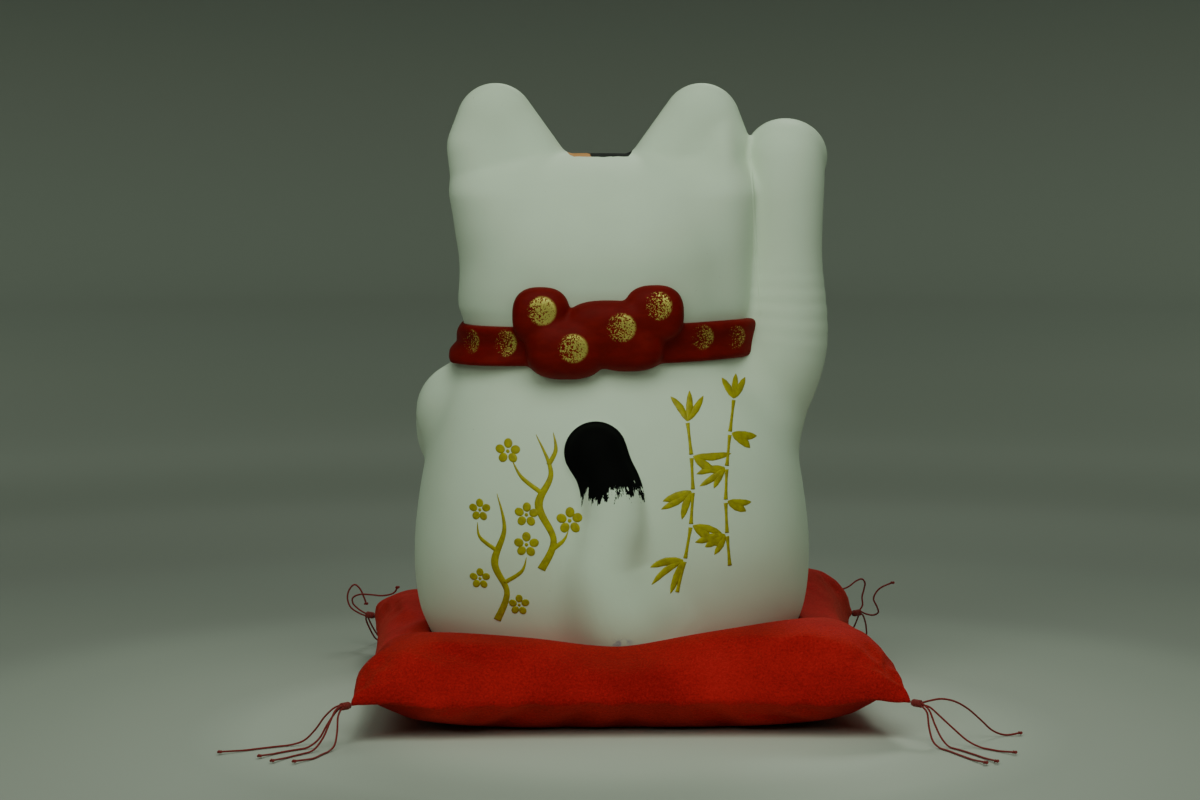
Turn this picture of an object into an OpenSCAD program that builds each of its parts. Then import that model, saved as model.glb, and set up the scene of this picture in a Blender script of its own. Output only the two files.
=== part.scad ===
// A beckoning cat figurine, slip-cast in white bisque, sitting on a filled square cushion with thread
// tassels at its corners. The cat faces -Y and its raised arm is on the -X side.
// The origin is at the middle of the cushion's underside.

/* [Cat] */
// Height of the cat from the underside of its base to its ear tips
cat_h = 240; // [220:5:250]
// Wall thickness of the slip-cast body
wall = 5; // [4:0.5:7]
// Diameter of the drain hole in the base
drain_d = 16; // [10:1:20]
// How far the collar band stands proud of the neck
collar_t = 4; // [3:0.5:5]
// Height of the collar band
collar_h = 16; // [12:1:18]
// Diameter of the bell under the chin
bell_d = 22; // [18:1:26]
// Width of the oval coin
koban_w = 42; // [36:1:48]
// Height of the oval coin
koban_h = 70; // [60:1:76]
// Thickness of the oval coin
koban_t = 6; // [4:0.5:8]

/* [Cushion] */
// Distance between neighbouring corners of the cushion
cushion_w = 222; // [216:2:240]
// Height of the seam that joins the two panels
seam_z = 15; // [14:1:17]
// Rise of the filled top above the seam
top_rise = 22; // [18:1:24]
// How far each side pulls in between its corners
side_pull = 4.5; // [0:0.5:8]
// Thickness of the cover fabric
cover_t = 1.2; // [1:0.1:1.6]
// Height at which the underside of the cat sits in the cushion
seat_z = 19; // [18.5:0.5:20]
// Clearance between the cat and the cushion
seat_gap = 0.3; // [0.3:0.1:0.6]

/* [Tassels] */
// Diameter of the tassel threads
thread_d = 0.8; // [0.6:0.1:1]
// Diameter of the whipping at each corner
knot_d = 4.4; // [4:0.2:5]
// Diameter of the small knot at each thread's end
end_knot_d = 2.2; // [1.8:0.1:2.6]

/* [Hidden] */

cat_k = cat_h / 240;             // the shapes below are written for a cat 240 mm high
round_fn = 20;                   // sides of the rounded limbs
ceramic = [0.93, 0.93, 0.90];
red_paint = [0.55, 0.06, 0.05];
red_cloth = [0.72, 0.09, 0.06];
black_paint = [0.05, 0.05, 0.05];
gold_paint = [0.80, 0.62, 0.20];

head_x = 10;                     // the head sits a little to +X, to make room for the raised arm
body_x = 4.5;

// Cross-sections of body and head, from the base up: [height, middle x, half width, depth to the
// front, depth to the back]. Each one is a rounded oval.
sections = [
    [0, body_x, 66, 54, 49],
    [4, body_x, 73, 61, 56],
    [11, body_x, 78, 66, 61],
    [20, body_x, 81.5, 67, 64],
    [34, body_x, 83.5, 67, 66],
    [50, body_x, 83.5, 66, 66.5],
    [68, body_x, 81.5, 64, 64],
    [84, body_x, 78.5, 61, 60],
    [98, 5.5, 74, 58, 55],
    [110, 7.5, 68, 54, 49],
    [120, 9, 61.5, 49, 44],
    [131, head_x, 57, 46, 42],
    [142, head_x, 58.5, 50, 44],
    [155, head_x, 60, 54, 46],
    [170, head_x, 60, 55, 46],
    [184, head_x, 58, 52, 43],
    [195, head_x, 54, 45, 37],
    [203, head_x, 47, 36, 29],
    [208.5, head_x, 36, 25, 20],
    [211.5, head_x, 16, 9, 7]
];
section_power = 2.35;            // 2 is an ellipse and a larger value is boxier
loft_sides = 36;
loft_rings = 22;

// ---- smooth curves through a short list of values ----

function span(t, z, i = 0) = i >= len(t) - 2 || z < t[i + 1][0] ? i : span(t, z, i + 1);

function slope(t, i, c) =
    let (a = max(i - 1, 0), b = min(i + 1, len(t) - 1))
    (t[b][c] - t[a][c]) / (t[b][0] - t[a][0]);

// Value in column c of table t at height z, on a smooth curve through its rows
function smooth(t, z, c) =
    let (i = span(t, z), h = t[i + 1][0] - t[i][0], u = (z - t[i][0]) / h)
    (2 * u ^ 3 - 3 * u ^ 2 + 1) * t[i][c] + (u ^ 3 - 2 * u ^ 2 + u) * h * slope(t, i, c)
    + (3 * u ^ 2 - 2 * u ^ 3) * t[i + 1][c] + (u ^ 3 - u ^ 2) * h * slope(t, i + 1, c);

function signed_power(v, p) = sign(v) * abs(v) ^ p;

// Faces of a closed skin over `rings` rings of `sides` points each, with flat ends
function skin_faces(rings, sides) = concat(
    [[for (j = [0 : sides - 1]) j]],
    [for (i = [0 : rings - 2]) for (j = [0 : sides - 1])
        let (k = (j + 1) % sides)
        [i * sides + j, (i + 1) * sides + j, (i + 1) * sides + k, i * sides + k]],
    [[for (j = [sides - 1 : -1 : 0]) (rings - 1) * sides + j]]
);

// ---- the cat's form, in its own frame with z = 0 at the underside of its base ----

// Body and head between two heights, grown outwards by `grow`
module body_loft(z_low, z_high, grow, rings = loft_rings, sides = loft_sides) {
    points = [
        for (i = [0 : rings - 1])
            let (z = z_low + (z_high - z_low) * (1 - cos(180 * i / (rings - 1))) / 2)
            for (j = [0 : sides - 1])
                let (a = 360 * j / sides, depth = smooth(sections, z, sin(a) < 0 ? 3 : 4) + grow)
                [
                    smooth(sections, z, 1)
                    + (smooth(sections, z, 2) + grow) * signed_power(cos(a), 2 / section_power),
                    depth * signed_power(sin(a), 2 / section_power),
                    z
                ]
    ];
    polyhedron(points, skin_faces(rings, sides), convexity = 6);
}

// An ellipsoid with the given centre and radii
module lump(centre, radii) {
    translate(centre) scale(radii) sphere(r = 1, $fn = round_fn);
}

// A limb: balls [x, y, z, radius] joined one to the next, each grown by `grow`
module limb(balls, grow = 0) {
    for (i = [0 : len(balls) - 2])
        hull()
            for (b = [balls[i], balls[i + 1]])
                translate([b[0], b[1], b[2]]) sphere(r = b[3] + grow, $fn = round_fn);
}

module ear(side) {
    translate([head_x, -2, 0]) scale([side, 1, 1])
        difference() {
            hull() {
                lump([43.5, 0, 223.5], [16.5, 10, 16.5]);
                lump([47, 0, 203], [16.5, 15, 16.5]);
                lump([46, 0, 186], [15, 16, 15]);
                lump([21, 0, 193], [14, 16, 14]);
            }
            // the hollow of its inner side
            hull() {
                lump([43, -15, 223], [8, 9, 8]);
                lump([45, -20, 206], [9, 10, 8]);
                lump([31, -20, 204], [8, 10, 8]);
            }
        }
}

left_arm_balls = [[66.5, -6, 98, 22], [71, -36, 84, 18], [52, -60, 76, 15], [34, -70, 78, 14]];
raised_arm_balls = [
    [-58, -2, 106, 21], [-66, 0, 131, 21], [-67.5, 0, 168, 17],
    [-69, -2, 203, 16.6], [-68.5, -6, 208.5, 16.5], [-68.5, -21, 206, 15.5], [-68.5, -28, 194, 13]
];
foot_balls = [[34, -40, 18, 17], [38, -66, 14, 13]];
tail_balls = [
    [1, 58, 18.5, 18], [5.5, 62, 26, 16.5], [8.5, 62.5, 33, 15], [9.5, 62, 41, 14],
    [8, 60.5, 50, 13.3], [5.5, 58.5, 61, 13.3], [5.5, 56, 73, 13.3], [8.5, 53, 81.5, 13.4],
    [12.3, 50, 88.5, 13.4]
];

module foot(side, grow) {
    translate([body_x, 0, 0]) scale([side, 1, 1]) limb(foot_balls, grow);
}

// Everything of the cat that is cast in one piece
module cast_form() {
    body_loft(0, 211.5, 0);
    ear(1);
    ear(-1);
    // the side of the head runs out to meet the raised arm
    hull()
        for (z = [128, 196]) lump([-44, -2, z], [11, 24, 12]);
    // muzzle and nose
    for (side = [-1, 1]) lump([head_x + side * 9, -49, 150], [12, 10, 10]);
    lump([head_x, -56, 158], [5, 5, 4]);
    limb(left_arm_balls);
    for (side = [-1, 1]) foot(side, 0);
}

// The lower part of the cat, grown by `grow`, which the cushion's seat is shaped to
module seat_form(grow) {
    translate([0, 0, -grow]) body_loft(0, 60, grow, 12);
    for (side = [-1, 1]) foot(side, grow);
    limb(tail_balls, grow);
}

module in_place() {
    translate([0, 0, seat_z]) scale(cat_k) children();
}

module cat_shell() {
    color(ceramic) in_place()
        difference() {
            cast_form();
            body_loft(wall, 206, -wall, 14, 24);
            translate([body_x, 0, -1]) cylinder(d = drain_d, h = wall + 4, $fn = 32);
        }
}

module raised_arm() {
    color(ceramic) in_place()
        difference() {
            limb(raised_arm_balls);
            cast_form();
            // hollow, and open where it is luted on
            limb(raised_arm_balls, -wall);
        }
}

module tail() {
    color(ceramic) in_place()
        difference() {
            limb(tail_balls);
            cast_form();
        }
}

collar_z = 132;
band_steps = 44;

// The full ring of the collar: a rounded band around the neck
module band_form() {
    profile_points = 8;
    points = [
        for (i = [0 : band_steps - 1])
            let (a = 360 * i / band_steps)
            for (j = [0 : profile_points - 1])
                let (
                    b = 360 * j / profile_points,
                    out = collar_t * signed_power(cos(b), 0.7),
                    z = collar_z + collar_h / 2 * signed_power(sin(b), 0.6),
                    depth = smooth(sections, z, sin(a) < 0 ? 3 : 4) + out
                )
                [
                    smooth(sections, z, 1)
                    + (smooth(sections, z, 2) + out) * signed_power(cos(a), 2 / section_power),
                    depth * signed_power(sin(a), 2 / section_power),
                    z
                ]
    ];
    faces = [
        for (i = [0 : band_steps - 1]) for (j = [0 : profile_points - 1])
            let (k = (i + 1) % band_steps, m = (j + 1) % profile_points)
            [
                i * profile_points + j, i * profile_points + m,
                k * profile_points + m, k * profile_points + j
            ]
    ];
    polyhedron(points, faces, convexity = 8);
}

module collar_band() {
    color(red_paint) in_place()
        difference() {
            band_form();
            cast_form();
            limb(raised_arm_balls);
        }
}

// Folds of the knot at the nape: [x, z, half width, half height, depth]
knot_folds = [
    [34, 146.5, 11.5, 11.5, 10], [-11.5, 147, 12.5, 11.5, 10], [9, 140, 14, 13, 12],
    [25, 132.5, 15.5, 12.5, 11.5], [0, 132, 12, 9.5, 12.5]
];
knot_y = 43;

module collar_bow() {
    color(red_paint) in_place()
        difference() {
            union() {
                for (f = knot_folds) lump([f[0], knot_y, f[1]], [f[2], f[4], f[3]]);
                // the cloth between the folds
                hull()
                    for (x = [2, 18]) lump([x, knot_y, 138], [12, 8, 10]);
            }
            band_form();
            cast_form();
        }
}

bell_y = -56;
module bell() {
    color(gold_paint) in_place()
        difference() {
            union() {
                lump([head_x, bell_y, 122], [bell_d / 2, bell_d / 2, bell_d / 2]);
                lump([head_x, bell_y, 122], [bell_d / 2 + 0.8, bell_d / 2 + 0.8, 1.6]);
            }
            cast_form();
            band_form();
            // the slit across its front
            translate([head_x, bell_y - bell_d / 2, 117]) cube([1.6, 6, 9], center = true);
        }
}

koban_y = -70;
koban_z = 66;
module koban() {
    color(gold_paint) in_place()
        difference() {
            translate([head_x - 2, koban_y, koban_z]) rotate([84, 0, 0])
                difference() {
                    scale([1, koban_h / koban_w, 1])
                        cylinder(d = koban_w, h = koban_t, center = true, $fn = 48);
                    translate([0, 0, koban_t / 2]) scale([1, koban_h / koban_w, 1])
                        cylinder(d = koban_w - 6, h = 1.6, center = true, $fn = 48);
                }
            cast_form();
        }
}

// ---- the cushion ----

half_w = cushion_w / 2;
grid = 14;                       // squares along each side of a panel
seam_t = 0.8;                    // thickness of the two fabrics at the seam
seam_groove = 0.3;               // the seam draws the cloth in by this much

// Fullness of the filling, 0 at the seam and nearly 1 over most of the panel
function fullness(u) = (1 - abs(u) ^ 8) ^ 0.4;

// How far a point is from the middle of the cat's base, 1 at its outline
function from_cat(x, y) =
    ((abs(x - body_x) / 80) ^ section_power + (abs(y) / 65) ^ section_power) ^ (1 / section_power);

// How far the cloth is pressed down around the cat
function pressed(x, y) =
    let (t = min(max((from_cat(x, y) - 0.95) / 0.45, 0), 1))
    7.5 * (1 - 3 * t ^ 2 + 2 * t ^ 3);

// Place on the cushion of the point u, v of a panel, each from -1 to 1
function plan(u, v, half) =
    half * [u * (1 - side_pull / half_w * (1 - v ^ 2)), v * (1 - side_pull / half_w * (1 - u ^ 2))];

// Height of the top panel, whose -X half is stuffed a little fuller
function top_z(u, v, p, inset) =
    seam_z + max(seam_t, fullness(u) * fullness(v)
        * ((top_rise - inset) * (1 - 0.1 * u) - pressed(p[0], p[1])));

// Height of the bottom panel, flat where it rests
function under_z(u, v, inset) =
    let (rim_z = seam_z - (inset > 0 ? 0 : seam_groove))
    inset + (rim_z - inset) * max(1 - 1.25 * fullness(u) * fullness(v), 0);

// Grid lines lie closer together near the edges, where the cloth turns
function grid_line(i) = sin(90 * (2 * i / grid - 1));

// A grid over the panel, `inset` inside the cover: kind is 1 on top, -1 underneath, 0 at the seam
function panel_points(inset, kind) = [
    for (i = [0 : grid]) for (j = [0 : grid])
        let (u = grid_line(i), v = grid_line(j), p = plan(u, v, half_w - inset))
        [p[0], p[1], kind > 0 ? top_z(u, v, p, inset) : kind < 0 ? under_z(u, v, inset) : seam_z]
];

function grid_faces(first, up) = [
    for (i = [0 : grid - 1]) for (j = [0 : grid - 1])
        let (a = first + i * (grid + 1) + j, b = a + grid + 1)
        up ? [a, a + 1, b + 1, b] : [a, b, b + 1, a + 1]
];

// The points along the rim of a grid, once round
rim = concat(
    [for (i = [0 : grid - 1]) i * (grid + 1)],
    [for (j = [0 : grid - 1]) grid * (grid + 1) + j],
    [for (i = [grid : -1 : 1]) i * (grid + 1) + grid],
    [for (j = [grid : -1 : 1]) j]
);

// A closed solid between a lower and an upper grid
module between_grids(lower, upper) {
    count = len(lower);
    walls = [
        for (k = [0 : len(rim) - 1])
            let (a = rim[k], b = rim[(k + 1) % len(rim)])
            [b, a, a + count, b + count]
    ];
    polyhedron(concat(lower, upper),
        concat(grid_faces(0, false), grid_faces(count, true), walls), convexity = 6);
}

module cushion_filling() {
    color("ivory")
        difference() {
            between_grids(panel_points(cover_t, -1), panel_points(cover_t, 1));
            in_place() seat_form((seat_gap + cover_t) / cat_k);
        }
}

module cushion_top_panel() {
    color(red_cloth)
        difference() {
            between_grids(panel_points(0, 0), panel_points(0, 1));
            in_place() seat_form(seat_gap / cat_k);
            cushion_filling();
        }
}

module cushion_bottom_panel() {
    color(red_cloth) between_grids(panel_points(0, -1), panel_points(cover_t, -1));
}

// ---- the tassels ----

corners = [[1, 1], [-1, 1], [1, -1], [-1, -1]];
knot_at = half_w + 1.6;          // place of each corner's whipping, along X and along Y
knot_z = seam_z + 0.4;
knot_l = 5;                      // length of the whipping, along the diagonal
knot_core_d = 3.2;
wraps = 3;

// Outward direction of a corner, and the direction across it
function outward(c) = [corners[c][0], corners[c][1], 0] / sqrt(2);
function across(c) = [-corners[c][1], corners[c][0], 0] / sqrt(2);

module corner_knot(c) {
    wrap_r = (knot_d - knot_core_d) / 2;
    color(red_paint)
        translate([corners[c][0] * knot_at, corners[c][1] * knot_at, knot_z])
            rotate([0, 90, atan2(corners[c][1], corners[c][0])]) {
                cylinder(d = knot_core_d, h = knot_l, center = true, $fn = 32);
                for (i = [0 : wraps - 1])
                    translate([0, 0, (i - (wraps - 1) / 2) * 2 * wrap_r])
                        rotate_extrude($fn = 32)
                            translate([knot_d / 2 - wrap_r, 0]) circle(r = wrap_r, $fn = 16);
            }
}

// Each thread leaves the outer end of its whipping; four of them are spread two by two
thread_seats = [[-0.55, 0.55], [-0.55, -0.55], [0.55, 0.55], [0.55, -0.55]];
function thread_start(c, t) =
    [corners[c][0] * knot_at, corners[c][1] * knot_at, knot_z] + outward(c) * (knot_l / 2 - 0.3)
    + across(c) * thread_seats[t][0] + [0, 0, thread_seats[t][1]];

// The rest of each thread's way, corner by corner: down from the corner and along the floor, or up
// and over the cushion's own corner
thread_ways = [
    [
        [[117, 115.5, 15], [120.5, 115, 11.5], [124, 113.5, 6.5], [128.5, 112.8, 2],
         [134, 114.5, 0.5], [141, 118, 0.4], [150, 123.5, 0.4], [160, 130, 1.1]],
        [[116.5, 116, 13], [119.5, 117, 8.5], [122.5, 118.2, 3.5], [127, 120.5, 0.6],
         [133, 125, 0.4], [139, 131, 0.4], [144, 138, 1.1]],
        [[116, 117, 14.5], [118, 120, 10.5], [120.5, 123, 5], [124, 127, 1],
         [128.5, 132, 0.4], [133.5, 138.5, 0.4], [138.5, 147, 1.1]],
        [[115, 116.8, 12], [115.2, 119.5, 7], [116, 122.5, 2.2], [118, 127, 0.5],
         [120.5, 133, 0.4], [123.5, 140.5, 0.4], [130, 148.5, 1.1]]
    ],
    [
        [[-116.6, 116.6, 13.5], [-118.5, 119, 8.5], [-120.8, 121.8, 3.5], [-123.5, 125.5, 0.6],
         [-127, 131, 0.4], [-130.5, 138, 0.4], [-134, 146, 0.4], [-137.5, 155.5, 1.1]],
        [[-115.8, 117, 12.5], [-116.2, 119.8, 7.5], [-117.3, 122.8, 2.6], [-119.5, 127, 0.5],
         [-122.5, 133, 0.4], [-125.5, 140.5, 0.4], [-129, 149, 0.4], [-133, 158, 1.1]],
        [[-117.5, 115, 17], [-122, 114.5, 17.5], [-127.5, 112.5, 16], [-133, 109.5, 12.5],
         [-138.5, 106.5, 7.5], [-143.5, 104, 2.8], [-149, 102, 0.5], [-155, 101, 1.1]],
        [[-117, 116.2, 14.5], [-121, 117.5, 11], [-126, 119.5, 6.5], [-131, 122.5, 2.4],
         [-136, 127, 0.5], [-141.5, 133, 0.4], [-147, 139, 1.1]]
    ],
    [
        [[114.6, -117.2, 12.8], [113, -121, 7.5], [110.5, -125.5, 2.2], [107.5, -131, 0.5],
         [104, -137.5, 0.4], [100, -144, 0.4], [95.5, -150.5, 1.1]],
        [[113, -117, 12], [110.5, -120, 6.5], [107.5, -124, 1.8], [104, -129, 0.5],
         [99.5, -135, 0.4], [94.5, -141, 0.4], [89, -147, 1.1]],
        [[117.5, -116.5, 17.2], [120.5, -117, 20], [120.5, -116, 23], [117, -114, 24.8],
         [112, -111.5, 25], [106.5, -108.5, 25], [101.5, -106, 26.5], [99.5, -104.5, 29.5]],
        [[118, -117.5, 15.6], [121.8, -118.5, 18.2], [123.2, -118.8, 22.5], [122.2, -118.5, 26.5],
         [119.8, -118, 28.8], [117.4, -117.3, 27], [115.6, -116.5, 23.5], [114.4, -115.8, 20.2]]
    ],
    [
        [[-117.2, -117.2, 14.2], [-120.8, -118.4, 13.4], [-123, -116.6, 15], [-122, -114.4, 18.2],
         [-120.4, -113.6, 21.6], [-121.6, -113.2, 25], [-124.2, -113, 27.4], [-129, -113, 29.4]],
        [[-116.2, -117.6, 13], [-117.6, -120.6, 9], [-118.4, -124, 4.4], [-118.6, -128.4, 1],
         [-118, -134, 0.4], [-116.6, -140.5, 0.4], [-114.6, -147, 1.1]],
        [[-115.6, -116.4, 18.4], [-115.4, -117, 22], [-116.2, -116.8, 25.6], [-116.6, -115.6, 28.8],
         [-115, -114.2, 31], [-112, -112.8, 30.2], [-108.5, -110.8, 28], [-104.5, -108, 27.2],
         [-100, -105.5, 29]],
        [[-113.6, -117.2, 12.6], [-112, -120.8, 7.2], [-109.6, -125, 2], [-106.6, -130.5, 0.5],
         [-103, -137, 0.4], [-99, -143.5, 0.4], [-94.5, -150, 1.1]]
    ]
];

function thread_points(c, t) = concat([thread_start(c, t)], thread_ways[c][t]);

// Points about `step` apart on a smooth curve through a route, never lower than `lowest`
function curve(p, step, lowest) = concat(
    [for (i = [0 : len(p) - 2])
        let (
            a = p[max(i - 1, 0)], b = p[i], c = p[i + 1], d = p[min(i + 2, len(p) - 1)],
            n = ceil(norm(c - b) / step)
        )
        for (k = [0 : n - 1])
            let (
                u = k / n,
                q = b + (c - a) / 2 * u + (a - 2.5 * b + 2 * c - d / 2) * u ^ 2
                    + (1.5 * b - a / 2 - 1.5 * c + d / 2) * u ^ 3
            )
            [q[0], q[1], max(q[2], lowest)]],
    [p[len(p) - 1]]
);

function unit(v) = v / norm(v);
function heading(p, i) = unit(p[min(i + 1, len(p) - 1)] - p[max(i - 1, 0)]);
function square_to(v, h) = unit(v - (v * h) * h);

tube_sides = 8;
module tube(path, d) {
    count = len(path);
    // one side direction for each ring, carried along so that the tube doesn't twist
    sides = [
        for (i = 0, s = square_to([0.3, 0.2, 1], heading(path, 0)); i < count;
             i = i + 1, s = i < count ? square_to(s, heading(path, i)) : s) s
    ];
    points = [
        for (i = [0 : count - 1]) for (j = [0 : tube_sides - 1])
            let (a = 360 * j / tube_sides, s = sides[i], r = cross(heading(path, i), s))
            path[i] + d / 2 * (cos(a) * s + sin(a) * r)
    ];
    polyhedron(points, skin_faces(count, tube_sides), convexity = 8);
}

module thread(c, t) {
    color(red_paint) tube(curve(thread_points(c, t), 3 * thread_d, thread_d / 2), thread_d);
}

module thread_ends(c) {
    color(red_paint)
        for (way = thread_ways[c])
            translate(way[len(way) - 1]) sphere(d = end_knot_d, $fn = 24);
}

cat_shell();
raised_arm();
tail();
collar_band();
collar_bow();
bell();
koban();
cushion_top_panel();
cushion_bottom_panel();
cushion_filling();
for (c = [0 : 3]) {
    corner_knot(c);
    thread_ends(c);
    for (t = [0 : 3])
        thread(c, t);
}
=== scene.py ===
"""Looks of a beckoning cat figurine on its red cushion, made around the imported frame.

Shapes are worked out in millimetres in the frame of the model, with +Z up and the origin under the
middle of the cushion, and become metres when a mesh is made. The cat faces -Y; the camera looks at
its back, from +Y. The cat's own shapes are written with z = 0 at the underside of its base.
"""
import math

import bpy
import numpy as np
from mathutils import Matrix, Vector
from mathutils.bvhtree import BVHTree


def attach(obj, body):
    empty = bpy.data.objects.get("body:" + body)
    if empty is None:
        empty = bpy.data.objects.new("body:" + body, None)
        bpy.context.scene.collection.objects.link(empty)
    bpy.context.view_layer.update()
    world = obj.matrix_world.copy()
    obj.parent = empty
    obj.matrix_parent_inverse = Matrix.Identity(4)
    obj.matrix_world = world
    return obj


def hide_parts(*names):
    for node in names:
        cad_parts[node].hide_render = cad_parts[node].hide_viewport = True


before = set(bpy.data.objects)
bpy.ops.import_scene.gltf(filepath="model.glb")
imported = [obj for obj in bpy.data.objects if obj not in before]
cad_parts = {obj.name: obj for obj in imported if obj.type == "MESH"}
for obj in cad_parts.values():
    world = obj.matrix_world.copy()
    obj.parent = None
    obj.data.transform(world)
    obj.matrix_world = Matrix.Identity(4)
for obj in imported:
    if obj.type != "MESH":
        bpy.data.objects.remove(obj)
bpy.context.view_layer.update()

MM = 0.001

# ---- camera ----

CAMERA_PLACE = (46.3, 1363.1, 252.0)
CAMERA_FORWARD = (-0.0269, -0.9953, -0.0926)
CAMERA_LENS = 96.84


def make_camera():
    data = bpy.data.cameras.new("camera")
    data.lens = CAMERA_LENS
    data.sensor_width = 36
    camera = bpy.data.objects.new("camera", data)
    bpy.context.scene.collection.objects.link(camera)
    camera.location = Vector(CAMERA_PLACE) * MM
    camera.rotation_euler = Vector(CAMERA_FORWARD).to_track_quat("-Z", "Y").to_euler()
    bpy.context.scene.camera = camera


make_camera()

# ---- meshes ----


def make_object(name, points, faces, material=None, smooth=True):
    """A mesh object from points in millimetres."""
    mesh = bpy.data.meshes.new(name)
    mesh.from_pydata((np.asarray(points, float) * MM).tolist(), [], [list(map(int, f)) for f in faces])
    mesh.polygons.foreach_set("use_smooth", [smooth] * len(mesh.polygons))
    mesh.update()
    obj = bpy.data.objects.new(name, mesh)
    bpy.context.scene.collection.objects.link(obj)
    if material:
        mesh.materials.append(material)
    return obj


def set_attribute(obj, name, values):
    """A number for each point of a mesh, which its material can read."""
    attribute = obj.data.attributes.new(name, "FLOAT", "POINT")
    attribute.data.foreach_set("value", np.asarray(values, np.float32))


def place(obj, body, nodes=()):
    """Lets a piece ride on a body and stand for CAD nodes."""
    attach(obj, body)
    if nodes:
        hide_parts(*nodes)
    return obj


def apply_modifiers(obj):
    """Makes the modified mesh the object's own."""
    graph = bpy.context.evaluated_depsgraph_get()
    mesh = bpy.data.meshes.new_from_object(obj.evaluated_get(graph))
    obj.modifiers.clear()
    obj.data = mesh


def circle(sides):
    """Angles evenly spaced round a circle."""
    return np.arange(sides) * 2 * math.pi / sides


def turned(faces):
    """The same faces, looking the other way."""
    return [f[::-1] for f in faces]


def ring_faces(rings, sides, closed=False):
    """Quads between rings of points, with caps at both ends unless the row of rings closes."""
    faces = []
    for i in range(rings if closed else rings - 1):
        a, b = i * sides, (i + 1) % rings * sides
        for j in range(sides):
            k = (j + 1) % sides
            faces.append([a + j, b + j, b + k, a + k])
    if not closed:
        faces.append(list(range(sides)))
        faces.append([(rings - 1) * sides + j for j in range(sides - 1, -1, -1)])
    return faces


def catmull(points, step=1.0, count=None):
    """Points on a smooth curve through the given ones, about `step` apart or `count` to a span."""
    p = np.asarray(points, float)
    out = []
    for i in range(len(p) - 1):
        a, b, c, d = p[max(i - 1, 0)], p[i], p[i + 1], p[min(i + 2, len(p) - 1)]
        pieces = count or max(1, math.ceil(np.linalg.norm((c - b)[:3]) / step))
        for u in np.arange(pieces) / pieces:
            out.append(
                b + (c - a) / 2 * u + (a - 2.5 * b + 2 * c - d / 2) * u**2
                + (1.5 * b - a / 2 - 1.5 * c + d / 2) * u**3
            )
    out.append(p[-1])
    return np.array(out)


# ---- materials ----


def new_material(name):
    """A material, its node tree and its shader."""
    material = bpy.data.materials.new(name)
    material.use_nodes = True
    return material, material.node_tree, material.node_tree.nodes["Principled BSDF"]


def put(tree, socket, value):
    """Sets an input to a constant, or links it to another node's output."""
    if isinstance(value, bpy.types.NodeSocket):
        tree.links.new(value, socket)
    else:
        socket.default_value = value


def add(tree, kind, inputs=None, **settings):
    """A new node with its settings and inputs."""
    made = tree.nodes.new(kind)
    for key, value in settings.items():
        setattr(made, key, value)
    set_inputs(tree, made, inputs or {})
    return made


def set_inputs(tree, node, values):
    for name, value in values.items():
        put(tree, node.inputs[name], value)


def math_node(tree, operation, a, b=0.0, clamp=False):
    return add(tree, "ShaderNodeMath", {0: a, 1: b}, operation=operation, use_clamp=clamp).outputs[0]


def times(tree, a, b):
    return math_node(tree, "MULTIPLY", a, b)


def plus(tree, a, b):
    return math_node(tree, "ADD", a, b)


def mix_colour(tree, factor, a, b):
    return add(tree, "ShaderNodeMix", {0: factor, 6: a, 7: b}, data_type="RGBA").outputs[2]


def step_up(tree, value, low, high):
    """0 below low and 1 above high, smooth between; low may be the larger one."""
    return add(
        tree, "ShaderNodeMapRange",
        {"Value": value, "From Min": low, "From Max": high},
        interpolation_type="SMOOTHSTEP",
    ).outputs[0]


def object_coords(tree, scale=(1, 1, 1)):
    coords = add(tree, "ShaderNodeTexCoord")
    return add(tree, "ShaderNodeMapping", {"Vector": coords.outputs["Object"], "Scale": scale}).outputs[0]


def noise(tree, vector, scale, detail=2.0, roughness=0.5, distortion=0.0):
    return add(
        tree, "ShaderNodeTexNoise",
        {"Vector": vector, "Scale": scale, "Detail": detail, "Roughness": roughness,
         "Distortion": distortion},
    ).outputs["Fac"]


def attribute(tree, name):
    return add(tree, "ShaderNodeAttribute", attribute_name=name).outputs["Fac"]


def bump(tree, height, distance, strength=1.0):
    return add(
        tree, "ShaderNodeBump", {"Height": height, "Distance": distance, "Strength": strength}
    ).outputs[0]


BISQUE = (0.77, 0.88, 0.73, 1)
BISQUE_WARM = (0.72, 0.82, 0.67, 1)
BLACK_PAINT = (0.002, 0.002, 0.002, 1)
ORANGE_PAINT = (0.62, 0.24, 0.04, 1)
EAR_PAINT = (0.62, 0.10, 0.08, 1)
BLUISH_SMUDGE_COLOUR = (0.30, 0.31, 0.46, 1)
RED_PAINT = (0.16, 0.0018, 0.0014, 1)
RED_PAINT_LIGHT = (0.22, 0.004, 0.003, 1)
GOLD_LEAF = (0.44, 0.35, 0.05, 1)
GOLD_LEAF_LIGHT = (0.66, 0.56, 0.13, 1)
GOLD_BRUSH = (0.33, 0.27, 0.001, 1)
GOLD_BRUSH_LIGHT = (0.46, 0.40, 0.002, 1)
CLAY_SPECK = (0.45, 0.42, 0.36, 1)
CLOTH_RED = (0.65, 0.018, 0.023, 1)
CLOTH_DEEP = (0.33, 0.006, 0.008, 1)
CLOTH_SHEEN = (0.95, 0.16, 0.08, 1)
YARN_DARK = (0.16, 0.004, 0.005, 1)
YARN_LIGHT = (0.30, 0.012, 0.010, 1)
BRISTLE_LENGTH = 30.0            # height in mm over which the bristles spread the tail's black
PATCH_UNEVENNESS = 2.2           # the same for the edges of the patches


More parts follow.
